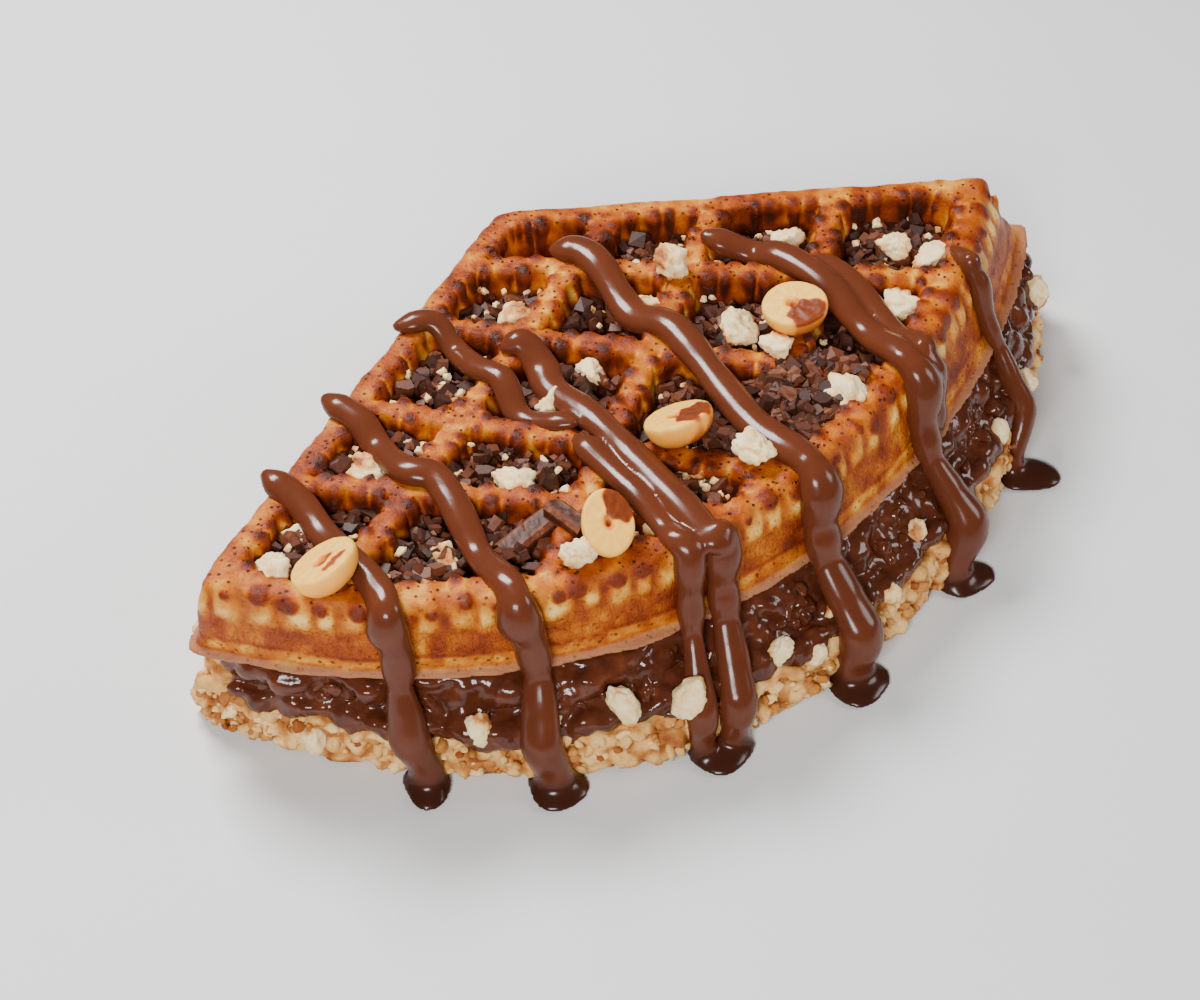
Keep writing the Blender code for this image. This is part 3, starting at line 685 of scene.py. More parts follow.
def chocolate_material():
    material, tree, shader = new_material("chocolate", 0.5, Specular_IOR_Level=0.26)
    colour = ramp(tree, uneven(tree, attribute(tree, "shade"), 0.9, 0.5), [
        (0.0, 38, 19, 12), (0.4, 70, 35, 22), (0.75, 106, 57, 36), (1.0, 158, 104, 74),
    ])
    paint(tree, shader, colour, object_noise(tree, 0.5, 4.0), 0.5, 0.15)
    return material


def nut_material():
    material, tree, shader = new_material(
        "nut", 0.6, Specular_IOR_Level=0.3, Subsurface_Weight=0.15, Subsurface_Scale=0.0015,
    )
    colour = ramp(tree, uneven(tree, attribute(tree, "shade"), 2.4, 1.5, 0.44, 5.0), [
        (0.0, 255, 228, 178), (0.3, 254, 210, 146), (0.5, 232, 168, 100), (0.8, 166, 90, 38),
        (1.0, 108, 52, 22),
    ])
    spots = calculate(tree, "MULTIPLY", pores(tree, 1.9, 0.5), 0.3)
    colour = mixed(tree, spots, colour, srgb(206, 134, 70))
    paint(tree, shader, colour, object_noise(tree, 0.8, 5.0, 0.65), 0.7, 0.3)
    return material


def hazelnut_material():
    material, tree, shader = new_material(
        "hazelnut", 0.46, Specular_IOR_Level=0.26, Subsurface_Weight=0.15, Subsurface_Scale=0.002,
    )
    colour = ramp(tree, uneven(tree, attribute(tree, "shade"), 1.5, 0.12), [
        (0.0, 255, 204, 118, 1.15), (0.25, 242, 166, 76, 1.1), (0.45, 206, 118, 40),
        (0.68, 152, 68, 14, 1.1), (1.0, 84, 34, 10),
    ])
    paint(tree, shader, colour, object_noise(tree, 0.8, 4.0), 0.18, 0.12)
    return material


def cream_material():
    material, tree, shader = new_material(
        "cream", 0.15, Specular_IOR_Level=0.30, Coat_Weight=0.05, Coat_Roughness=0.04,
        Subsurface_Weight=0.1, Subsurface_Scale=0.001,
    )
    colour = ramp(tree, object_noise(tree, 4.0, 3.0), [
        (0.25, 58, 26, 15), (0.6, 88, 42, 24), (0.85, 112, 58, 35),
    ])
    paint(tree, shader, colour, object_noise(tree, 2.6, 2.0, 0.5, 0.6), 0.3, 0.5)
    return material


def base_material():
    material, tree, shader = new_material("crumb", 0.62, Specular_IOR_Level=0.25)
    brown = attribute(tree, "brown")
    for size, weight in ((4.0, 0.30), (1.1, 0.28)):
        brown = uneven(tree, brown, size, weight, 0.5, 4.0, 0.6, 0.3)
    colour = ramp(tree, brown, [
        (0.0, 246, 208, 142), (0.28, 224, 172, 100), (0.52, 188, 122, 54), (0.76, 148, 78, 26),
        (1.0, 88, 44, 18),
    ])
    paint(tree, shader, colour, object_noise(tree, 0.8, 5.0, 0.7), 0.7, 0.3)
    return material


# The crust of the upper waffle

CRUST_STEP = 0.85
KNOB_PITCH, KNOB_HEIGHT = 6.6, 43.4
# Heights on the outer wall: its pillars, a raised line, a row of pores and a groove
PILLARS_AT, LINE_AT, PORES_AT, GROOVE_AT = 39.8, 30.2, 28.5, 27.2


def rim_knobs(run, z):
    """1 in the middle of each dark blister along the rim's outer top edge, and 0 between them."""
    table = np.random.default_rng(77).uniform(-1, 1, (512, 3))
    cell = np.floor(run / KNOB_PITCH).astype(int)
    best = 0.0
    for step in (-1, 0, 1):
        jitter = table[(cell + step) % 512]
        middle = (cell + step + 0.5) * KNOB_PITCH + 2.2 * jitter[..., 0]
        high = KNOB_HEIGHT + 1.0 * jitter[..., 1]
        size = 1.2 + 0.5 * jitter[..., 2]
        distance = np.sqrt(((run - middle) / 1.3) ** 2 + (z - high) ** 2) / size
        best = np.maximum(best, smooth((1.45 - distance) / 0.7))
    return best


def pillars(run):
    """1 in the middle of each rounded pillar of the outer wall, and 0 in the creases between them."""
    return np.abs(np.sin(math.pi * run / KNOB_PITCH + 0.6 * np.sin(run * 0.21) + 0.3 * np.sin(run * 0.57)))


def front_share(x, y):
    """1 along the round front and 0 along the two cuts, whose edges are straighter."""
    left, back, front = outline_sides(x, y, RIM)
    return smooth((front - np.maximum(left, back) + 2.0) / 5.0)


def outer_relief(run, z, front):
    """How far the outer wall stands out: blisters on top, pillars under them, and lines over the lip."""
    relief = 1.3 * pillars(run) * near(z, PILLARS_AT, 2.8) + 1.0 * rim_knobs(run, z)
    return relief * (0.25 + 0.75 * front) - 0.35 * near(z, LINE_AT, 0.5) - 0.3 * near(z, GROOVE_AT, 0.8)


def crust_field(x, y, z):
    flat = plan_of(x, y)
    rim, lip = (outline_distance(*flat, level)[:, :, None] for level in (RIM, LIP))
    run = edge_run(*flat, LIP)[:, :, None]
    plain, fluted, flute, _ = (layer[:, :, None] for layer in pocket_walls(*flat))
    share = (z - TOP_UNDER) / (TOP_CREST - TOP_UNDER)
    level = 0 * z[:, :, :1]
    front = front_share(*flat)[:, :, None]
    wavy = z + 0.5 * noise(x, y, level, 9.0, 12)
    side = lip + (rim - lip) * share + 0.8 - outer_relief(run, wavy, front)
    side = side + 0.24 * noise(x, y, z, 4.0, 3, 2)
    knob = 0.5 * flute * near(plain, 0.7, 0.9)
    knob = knob + 0.5 * front * rim_knobs(run, KNOB_HEIGHT + level)
    crest = TOP_CREST - 0.3 + knob + 0.3 * noise(x, y, level, 11.0, 5) + 0.16 * noise(x, y, level, 3.6, 6, 2)
    body = higher(side, z - crest, 1.4)
    wobble = 0.6 * noise(x, y, level, 6.0, 8, 2)
    lip_ring = higher(np.abs(z - TOP_UNDER - 0.65) - 0.6 - 0.15 * wobble, lip - 0.6 + wobble, 0.7)
    body = lower(body, lip_ring, 0.3)
    body = np.maximum(body, TOP_UNDER - z)
    depth = TOP_CREST - z
    strength = smooth((z - POCKET_FLOOR) / 6.0)
    hollow = fluted * strength + plain * (1 - strength) + POCKET_DRAFT * depth + 0.3 * noise(x, y, z, 3.2, 9)
    floor = POCKET_FLOOR - z + 0.4 * noise(x, y, level, 4.0, 10)
    hollow = higher(hollow, floor, 2.5)
    return higher(body, -hollow, 0.7)


def crust_attributes(points):
    x, y, z = points.T
    plain, _, flute, facing = pocket_walls(x, y)
    run = edge_run(x, y, LIP)
    rim = outline_distance(x, y, RIM)
    depth = TOP_CREST - z
    in_wall = smooth((depth - 1.0) / 2.0) * (plain < 1.5)
    outer = smooth((rim + 2.0) / 1.5) * smooth((depth - 0.6) / 1.0)
    crest = 1 - np.clip(in_wall + outer, 0, 1)
    cloud = noise(x, y, z, 9.0, 21, 2)
    spots = noise(x, y, z, 3.0, 24, 2)
    edge = near(plain, 0.3, 1.6)
    on_crest = 0.38 + 0.13 * cloud + 0.12 * spots + edge * (0.66 * flute**1.5 - 0.10)
    flame = smooth((flute - 0.10 - 0.085 * depth) / 0.35)
    # Painted shade: the pocket walls get darker deeper down, where shade falls in the pocket.
    painted_shade_low = smooth((depth - 4.5) / 6.0)
    on_wall = 0.14 + 0.60 * flame + 0.22 * painted_shade_low * (1 - flame)
    # Painted shade: walls facing -Y, away from the key light, are made darker.
    on_wall = on_wall + 0.36 * smooth(facing) * (1 - 0.5 * flame) + 0.12 * cloud + 0.16 * spots
    knob = rim_knobs(run, z)
    pillar = pillars(run)
    band = near(z, PILLARS_AT + 0.4, 2.6)
    front = front_share(x, y)
    wavy = z + 0.5 * noise(x, y, 0 * z, 9.0, 12)
    on_side = 0.42 - 0.32 * band * smooth((pillar - 0.2) / 0.6) + 0.06 * band * (1 - pillar)
    on_side = on_side + 0.03 * smooth((38.0 - z) / 3.0) - 0.17 * smooth((LINE_AT - wavy) / 0.5)
    # Painted shade: the incised line and the groove are made darker.
    on_side = on_side + 0.16 * near(wavy, LINE_AT, 0.4) + 0.10 * near(wavy, GROOVE_AT, 0.4)
    on_side = on_side + 0.07 * cloud + 0.13 * spots
    brown = crest * on_crest + in_wall * on_wall + np.clip(outer - in_wall, 0, 1) * on_side
    near_rim = smooth((rim + 4.0) / 1.5)
    brown = brown + (0.68 - brown) * knob * near_rim * (0.5 + 0.5 * front)
    lip = smooth((TOP_UNDER + 1.9 - z) / 0.5) * smooth((outline_distance(x, y, LIP) + 1.7) / 0.6)
    return {
        "brown": brown,
        "lip": lip * 0.9,
        "pored": np.clip(crest + 0.4 * outer, 0, 1),
        "row": outer * near(wavy, PORES_AT, 0.9),
        "walled": outer * smooth((z - 30.0) / 1.0) * smooth((40.0 - z) / 3.0),
    }


def waffle_crust():
    points, quads = meshed(crust_field, TOP_UNDER - 2 * CRUST_STEP, TOP_CREST + 3, CRUST_STEP)
    points = relax(points, quads, 1, 0.4)
    made = thing("waffle_crust", points, quads, crust_material(), crust_attributes(points))
    return dress(made, "waffle_top", "waffle_top")


# Sauce

SAUCE_STEP = 0.55
ROUTE_STEP = 0.8
POOL_HEIGHT = 2.4
FAR = 6.0


def rib_distance(x, y):
    """Distance from a point to the nearest rib's middle line or to the middle of the rim."""
    here = Vector((x, y))
    distances = [abs((here - Vector(rib[0])).dot(rib_normal(rib))) for rib in ROW_RIBS + COLUMN_RIBS]
    angle = math.degrees(math.atan2(y, x))
    distances.append(abs(outline_radius(RIM, angle, RIM_WIDTH / 2) - here.length))
    return min(distances)


def smooth_route(points, step):
    """Catmull-Rom curve through the points, read off at about every step."""
    knots = [points[0] * 2 - points[1], *points, points[-1] * 2 - points[-2]]
    route = []
    for a, b, c, d in zip(knots, knots[1:], knots[2:], knots[3:]):
        count = max(1, round((c - b).length / step))
        for i in range(count):
            t = i / count
            curve = (2 * a - 5 * b + 4 * c - d) * t**2 + (3 * b - a - 3 * c + d) * t**3
            route.append(0.5 * ((2 * b) + (c - a) * t + curve))
    return route + [points[-1]]


def strand_knots(strand):
    """Rows of point, outward normal and half-width down a strand, over the top and down the side."""
    width = strand["width"]
    rows = []
    for x, y in strand["top"]:
        sag = strand.get("sag", SAG) * float(smooth((rib_distance(x, y) - RIB_WIDTH / 2) / 6.0))
        rows.append((Vector((x, y, TOP_CREST + 0.25 * width - sag)), Vector((0, 0, 1)), width))
    if "fall" not in strand:
        return rows
    at_crest, at_lip, at_foot = strand["fall"]
    spread = strand.get("spread", FALL_SPREAD)
    thin = STRAND_FLATNESS * width * FALL_SPREAD
    stations = [
        (TOP_CREST - 0.5, 0.30 * thin, 1.05), (TOP_CREST - 4.5, 0.54 * thin, 1.12 * spread),
        (TOP_CREST - 10.0, 0.30 * thin, 0.88 * spread), (TOP_UNDER + 5.0, 0.46 * thin, 0.96 * spread),
        (TOP_UNDER + 0.5, 0.60 * thin + 0.6, 0.72 * spread), (BASE_TOP + 7.5, 0.88 * thin, 1.0 * spread),
        (BASE_TOP + 1.0, 0.72 * thin, 1.15 * spread), (5.5, 0.46 * thin, 0.92 * spread),
        (1.4, 0.8 * thin, 0.80 * spread),
    ]
    for z, stand_off, swell in stations:
        if z < strand["end"]:
            continue
        if z > TOP_UNDER:
            degrees = at_lip + (at_crest - at_lip) * (z - TOP_UNDER) / (TOP_CREST - TOP_UNDER)
        else:
            degrees = at_foot + (at_lip - at_foot) * z / TOP_UNDER
        outward = at_angle(1.0, degrees, 0.0) + Vector((0, 0, 1.2 if z > TOP_CREST - 1 else 0.1))
        place = at_angle(side_radius(degrees, z) + stand_off, degrees, z)
        rows.append((place, outward.normalized(), width * swell))
    return rows


def strand_samples(strand, seed):
    """(point, along, across, up, half-width) at close steps down a strand."""
    rows = strand_knots(strand)
    route = smooth_route([row[0] for row in rows], ROUTE_STEP)
    normals = [row[1] for row in rows]
    lengths = [0.0]
    for first, second in zip(rows, rows[1:]):
        lengths.append(lengths[-1] + max(1, round((second[0] - first[0]).length / ROUTE_STEP)))
    samples = []
    for i, here in enumerate(route):
        before, after = route[max(0, i - 1)], route[min(len(route) - 1, i + 1)]
        along = (after - before).normalized()
        normal = Vector([np.interp(i, lengths, [n[k] for n in normals]) for k in range(3)])
        across = along.cross(normal).normalized()
        up = across.cross(along).normalized()
        width = np.interp(i, lengths, [row[2] for row in rows])
        swell = 1 + 0.05 * math.sin(0.13 * i + seed) + 0.04 * math.sin(0.29 * i + 2 * seed)
        ends = min(1.0, 0.55 + 0.12 * min(i, len(route) - 1 - i))
        samples.append((here, along, across, up, width * swell * ends))
    return samples


def add_pool(field, window, foot, seed):
    """Joins the small uneven pool at a strand's foot to the field."""
    (foot_x, foot_y), half, long_half = foot
    middle = np.array((foot_x, foot_y, 0.0))
    part, spots = window(middle - (long_half + 4), middle + (long_half + 4))
    offset = spots - middle
    angle = math.atan2(foot_y, foot_x)
    radial = offset[..., 0] * math.cos(angle) + offset[..., 1] * math.sin(angle)
    sideways = -offset[..., 0] * math.sin(angle) + offset[..., 1] * math.cos(angle)
    turn = np.arctan2(sideways, radial)
    wavy = 1 + 0.10 * np.sin(2 * turn + seed) + 0.07 * np.sin(3 * turn + 2 * seed)
    spread = (radial / (long_half * wavy)) ** 2 + (sideways / (half * wavy)) ** 2
    distance = (np.sqrt(spread + (offset[..., 2] / POOL_HEIGHT) ** 2) - 1) * POOL_HEIGHT
    field[part] = lower(field[part], distance, POOL_HEIGHT)


def sauce():
    axes = grid((*LOW, -2 * SAUCE_STEP), (*HIGH, TOP_CREST + 7), SAUCE_STEP)
    origin = np.array([axis.min() for axis in axes])
    shape = tuple(axis.size for axis in axes)
    field = np.full(shape, FAR, np.float32)

    def window(low, high):
        """The part of the grid inside a box, and its points."""
        start = np.clip(np.floor((low - origin) / SAUCE_STEP).astype(int), 0, shape)
        end = np.clip(np.ceil((high - origin) / SAUCE_STEP).astype(int) + 1, 0, shape)
        part = tuple(slice(a, b) for a, b in zip(start, end))
        rulers = (origin[k] + SAUCE_STEP * np.arange(start[k], end[k]) for k in range(3))
        return part, np.stack(np.meshgrid(*rulers, indexing="ij"), -1)

    for seed, strand in enumerate(STRANDS.values()):
        own = np.full(shape, FAR, np.float32)
        for here, along, across, up, half in strand_samples(strand, 1.7 * seed):
            reach = half + 2.5
            part, spots = window(np.array(here) - reach, np.array(here) + reach)
            offset = spots - np.array(here)
            flat = STRAND_FLATNESS + 0.24 * (1 - abs(up.z))
            side = offset @ np.array(across) / half
            rise = offset @ np.array(up) / (half * flat)
            ahead = np.maximum(np.abs(offset @ np.array(along)) - ROUTE_STEP * 0.6, 0) / half
            distance = (np.sqrt(side**2 + rise**2 + ahead**2) - 1) * half * 0.75
            own[part] = np.minimum(own[part], distance)
        field = lower(field, own, strand.get("blend", 0.9))
        if "foot" in strand:
            add_pool(field, window, strand["foot"], seed)
    field = np.maximum(field, 0.06 - axes[2])
    points, quads = surface(field, origin, SAUCE_STEP)
    points = relax(points, quads, 4, 0.5)
    # Painted shade: the sauce is made darker from 5.5 mm down to the floor.
    thin = 0.9 * smooth((5.5 - points[:, 2]) / 3.5)
    made = thing("sauce", points, quads, sauce_material(), {"thin": thin})
    return dress(made, "waffle_top", "waffle_top")


# Loose toppings

def joined(name, lumps, material, soft, label="shade"):
    """One object from many (points, faces, shade) lumps."""
    points, faces, shades, start = [], [], [], 0
    for lump_points, lump_faces, shade in lumps:
        points.append(lump_points)
        faces += [tuple(start + k for k in face) for face in lump_faces]
        shades.append(np.broadcast_to(shade, len(lump_points)))
        start += len(lump_points)
    return thing(name, np.concatenate(points), faces, material, {label: np.concatenate(shades)}, soft)


def faces_of(build):
    return [tuple(vertex.index for vertex in face.verts) for face in build.faces]


def hull(points):
    """Faces of the hull of some points, with the points that it uses."""
    build = bmesh.new()
    for point in points:
        build.verts.new(point)
    found = bmesh.ops.convex_hull(build, input=build.verts)["geom_interior"]
    inner = [vertex for vertex in found if isinstance(vertex, bmesh.types.BMVert)]
    bmesh.ops.delete(build, geom=inner, context="VERTS")
    bmesh.ops.recalc_face_normals(build, faces=build.faces)
    build.verts.index_update()
    made = np.array([v.co for v in build.verts]), faces_of(build)
    build.free()
    return made


def shard(draw):
    """A broken flake of chocolate about 1 across, its sides cut at angles."""
    corners = []
    count = draw.choice((4, 5, 6))
    for level, share in ((-0.5, draw.uniform(0.75, 1.05)), (0.5, draw.uniform(0.6, 1.0))):
        thick = draw.uniform(0.5, 0.9)
        for k in range(count):
            angle = 2 * math.pi * (k + draw.uniform(-0.32, 0.32)) / count
            reach = 0.5 * share * draw.uniform(0.75, 1.15)
            corners.append((reach * math.cos(angle), reach * math.sin(angle), level * thick))
    return hull(corners)


def random_way(draw):
    return Vector((draw.gauss(0, 1), draw.gauss(0, 1), draw.gauss(0, 1))).normalized()


def tumbled(draw, shape, place):
    """A shape's points turned at random and moved to a place."""
    axis = random_way(draw)
    turn = np.array(Matrix.Rotation(draw.uniform(0, 2 * math.pi), 3, axis))
    return shape @ turn.T + place


def spot_in(polygon, draw, share=0.9):
    """A random place in a convex polygon."""
    middle = middle_of(polygon)
    sides = sides_of(polygon)
    first, second = draw.choices(sides, [abs((a - middle).cross(b - middle)) for a, b in sides])[0]
    u, v = math.sqrt(draw.random()), draw.random()
    return middle + ((first - middle) * (1 - v) + (second - middle) * v) * u * share


STRAND_ROUTES = [
    smooth_route([Vector((x, y, 0)) for x, y in strand["top"]], 1.5) for strand in STRANDS.values()
]


def near_strand(x, y, reach):
    return any((p.x - x) ** 2 + (p.y - y) ** 2 < reach**2 for route in STRAND_ROUTES for p in route)


def free_spots(draw, count, share, reach):
    """Some of count random places in the filled pockets, off the strands: the pocket's row and the place."""
    for _ in range(count):
        row, column, polygon = draw.choice(POCKETS)
        here = spot_in(polygon, draw, share)
        if not near_strand(here.x, here.y, reach) and (row, column) not in EMPTY_POCKETS:
            yield row, here


# Heaps of chips: their lowest layer, the heights of their tops by row of pockets from back to front,
# the layers as depth under the top, chips per square millimetre and share of the pocket, and the sizes
HEAP_FLOOR = 34.6
HEAP_HEIGHTS = (38.6, 39.4, 41.0, 42.0, 41.6)
HEAP_LAYERS = [(None, 0.05, 0.86), (3.5, 0.10, 0.88), (1.6, 0.13, 0.90), (0.0, 0.13, 0.72)]
CHIP_SIZES = (1.8, 2.3, 2.8, 3.4, 4.2, 5.2)
# Chips that spill over the ribs, and how high they lie over a pocket
SPILL = {"middle": (30.0, -7.0), "half": (20.0, 12.0), "turn": 35.0, "count": 620, "height": 43.2}
SPILL_SIZES = (1.8, 2.4, 3.0, 3.8, 4.6)


def chip(draw, shards, place, size):
    points, faces = draw.choice(shards)
    stretch = np.array([draw.uniform(0.8, 1.3), draw.uniform(0.6, 1.1), draw.uniform(0.5, 1.0)]) * size
    return tumbled(draw, points * stretch, place), faces, draw.uniform(0.1, 0.8)


def chocolate_chips(material):
    draw = random.Random(3)
    shards = [shard(draw) for _ in range(40)]
    lumps = []
    for row, column, polygon in POCKETS:
        if (row, column) in EMPTY_POCKETS:
            continue
        for depth, density, share in HEAP_LAYERS:
            height = HEAP_FLOOR if depth is None else HEAP_HEIGHTS[row] - depth
            for _ in range(round(area_of(polygon) * density)):
                here = spot_in(polygon, draw, share)
                size = draw.choice(CHIP_SIZES) * draw.uniform(0.85, 1.15)
                if height > 38 and near_strand(here.x, here.y, 3.4):
                    continue
                place = (here.x, here.y, height + draw.uniform(-0.8, 0.8))
                lumps.append(chip(draw, shards, place, size))
    turn = math.radians(SPILL["turn"])
    for _ in range(SPILL["count"]):
        reach, angle = math.sqrt(draw.random()), draw.uniform(0, 2 * math.pi)
        across = SPILL["half"][0] * reach * math.cos(angle)
        along = SPILL["half"][1] * reach * math.sin(angle)
        x = SPILL["middle"][0] + across * math.cos(turn) - along * math.sin(turn)
        y = SPILL["middle"][1] + across * math.sin(turn) + along * math.cos(turn)
        size = draw.choice(SPILL_SIZES) * draw.uniform(0.85, 1.15)
        if near_strand(x, y, 4.4) or outline_distance(x, y, RIM) > -7.0:
            continue
        level = TOP_CREST + 0.3 if pocket_at(x, y) is None else SPILL["height"]
        place = (x, y, level + draw.uniform(-0.4, 1.5) * (1.2 - reach))
        lumps.append(chip(draw, shards, place, size))
    return dress(joined("chocolate_chips", lumps, material, False), "waffle_top", "waffle_top")


# Two broken sticks in the front middle pocket: ends in plan with heights, and width
STICKS = [
    ((-29.8, -46.0, 40.6), (-20.6, -37.6, 42.6), 5.4),
    ((-20.4, -37.2, 45.6), (-13.6, -43.6, 45.4), 4.4),
]


def chocolate_stick(material):
    """Square sticks with broken ends and chipped edges."""
    blender_noise.seed_set(33)
    lumps = []
    for start, end, width in STICKS:
        start, end = Vector(start), Vector(end)
        along = (end - start).normalized()
        across = along.cross(Vector((0, 0, 1))).normalized()
        up = across.cross(along)
        count, sides = 14, 16
        points, shades = [], []
        for i in range(count + 1):
            middle = start + (end - start) * (i / count)
            for k in range(sides):
                angle = 2 * math.pi * (k + 0.5) / sides
                square = min(0.5 / max(abs(math.cos(angle)), abs(math.sin(angle))), 0.62)
                place = middle + (across * math.cos(angle) + up * math.sin(angle) * 0.85) * square * width
                rough = 0.22 if 0 < i < count else 0.6
                place = place + blender_noise.noise_vector(place * 0.9) * rough
                points.append(place)
                shades.append(0.30 + 0.3 * blender_noise.noise(place * 0.7) + 0.4 * (square > 0.6))
        faces = [
            (i * sides + k, i * sides + after, (i + 1) * sides + after, (i + 1) * sides + k)
            for i in range(count) for k, after in enumerate((*range(1, sides), 0))
        ]
        faces.append(tuple(reversed(range(sides))))
        faces.append(tuple(count * sides + k for k in range(sides)))
        lumps.append((np.array(points), faces, np.array(shades)))
    return dress(joined("chocolate_stick", lumps, material, False), "waffle_top", "waffle_top")


def crumbly(draw, stretch, detail=3, rough=1.0, cut_at=0.66):
    """A rough piece of nut about 1 across: points, faces and a shade that is brown where skin is left."""
    build = bmesh.new()
    bmesh.ops.create_icosphere(build, subdivisions=detail, radius=0.5)
    shift = Vector((draw.uniform(-50, 50), draw.uniform(-50, 50), draw.uniform(-50, 50)))
    skin = random_way(draw)
    cuts = [random_way(draw) for _ in range(5)]
    knobs = ((2.2, 0.15), (4.6, 0.09)) if detail > 2 else ((2.2, 0.16),)
    points, shades = [], []
    for vertex in build.verts:
        way = vertex.co.normalized()
        reach = 0.5 * (1 + 0.32 * rough * blender_noise.noise(way * 1.4 + shift))
        for cut in cuts:
            facing = way.dot(cut)
            if facing > cut_at - 0.04:
                reach = min(reach, 0.5 * cut_at / facing)
        for fineness, height in knobs:
            reach += height * rough * (0.45 - blender_noise.voronoi(way * fineness + shift)[0][0])
        points.append([way[k] * reach * stretch[k] for k in range(3)])
        browned = 0.62 * max(0.0, way.dot(skin) - 0.45) / 0.55
        shades.append(0.06 + browned + 0.1 * blender_noise.noise(way * 3.0 + shift))
    faces = faces_of(build)
    build.free()
    return np.array(points), faces, np.array(shades)


def pocket_at(x, y):
    """The row and column of the pocket that a point lies over, or None on a rib."""
    here = Vector((x, y))
    for row, column, polygon in POCKETS:
        middle = middle_of(polygon)
        if all((b - a).cross(middle - a) * (b - a).cross(here - a) > 0 for a, b in sides_of(polygon)):
            return row, column
    return None


def top_height(x, y):
    """Height of what a loose piece lies on."""
    cell = pocket_at(x, y)
    if cell is None:
        return TOP_CREST
    return POCKET_FLOOR if cell in EMPTY_POCKETS else 39.4


SMALL_NUTS = 110
FINE_CRUMBS = 90


def chopped_nuts(material):
    draw = random.Random(5)
    lumps = []
    for x, y, length in CHOPPED_NUTS:
        shape, faces, shade = crumbly(draw, (1.0, draw.uniform(0.72, 0.95), draw.uniform(0.62, 0.8)), 4)
        turn = Matrix.Rotation(draw.uniform(0, 2 * math.pi), 3, "Z")
        turn = np.array(turn @ Matrix.Rotation(draw.uniform(-0.4, 0.4), 3, "X"))
        placed = (shape * length * 1.12) @ turn.T
        lift = top_height(x, y) - placed[:, 2].min() - 0.9
        lumps.append((placed + (x, y, lift), faces, shade))
    for row, here in free_spots(draw, SMALL_NUTS, 0.85, 4.2):
        size = draw.uniform(1.6, 3.4)
        shape, faces, shade = crumbly(draw, (1.0, draw.uniform(0.6, 0.9), draw.uniform(0.5, 0.8)), 3, 1.6)
        place = (here.x, here.y, HEAP_HEIGHTS[row] + 0.8)
        lumps.append((tumbled(draw, shape * size, place), faces, shade))
    return dress(joined("chopped_nuts", lumps, material, True), "waffle_top", "waffle_top")


def crumbs(material):
    """Fine nut crumbs over the chips."""
    draw = random.Random(9)
    lumps = []
    for row, here in free_spots(draw, FINE_CRUMBS, 0.8, 3.8):
        size = draw.uniform(0.6, 2.2)
        shape, faces = shard(draw)
        shade = draw.uniform(0.1, 0.6)
        place = (here.x, here.y, HEAP_HEIGHTS[row] + 0.9)
        lumps.append((tumbled(draw, shape * size, place), faces, shade))
    return dress(joined("nut_crumbs", lumps, material, False), "waffle_top")


def half_profile():
    """Rings of half a nut as share of its radius, height and 1 on the face, out over the face and down."""
    profile = []
    for share in np.linspace(0.04, 0.91, 22):
        dimple = 0.10 * near(share, 0.3, 0.1) - 1.3 * near(share, 0.0, 0.15)
        profile.append((share, dimple - 0.12 * share**4, 1.0))
    for k in range(1, 4):
        turn = math.pi / 2 * k / 4
        profile.append((0.91 + 0.085 * math.sin(turn), -0.12 - 0.9 * (1 - math.cos(turn)), 0.8))
    for k in range(18):
        turn = math.pi / 2 * (0.04 + 0.93 * k / 17)
        profile.append((math.cos(turn) ** 0.75, -0.95 - (HAZELNUT_DEPTH - 0.95) * math.sin(turn), 0.0))
    return profile


def face_brown(nut, spot, x, y):
    """How brown the patch or the marks make a spot, given as shares of the nut's size."""
    if "patch" in nut:
        turn, reach = math.radians(nut["patch"][0]), nut["patch"][1]
        centre = Vector((math.cos(turn), math.sin(turn))) * reach
        away = (spot - centre).length + 0.22 * blender_noise.noise(Vector((x, y, 7)) * 0.5)
        return 0.80 * float(smooth((0.60 - away) / 0.12))
    brown = 0.0
    for start, end, half in FACE_MARKS:
        start, along = Vector(start), Vector(end) - Vector(start)
        nearest = start + along * min(1.0, max(0.0, (spot - start).dot(along) / along.length_squared))
        away = (spot - nearest).length + 0.06 * blender_noise.noise(Vector((x, y, 9)) * 0.9)
        brown = max(brown, 0.62 * float(smooth((half - away) / 0.07 + 0.5)))
    return brown


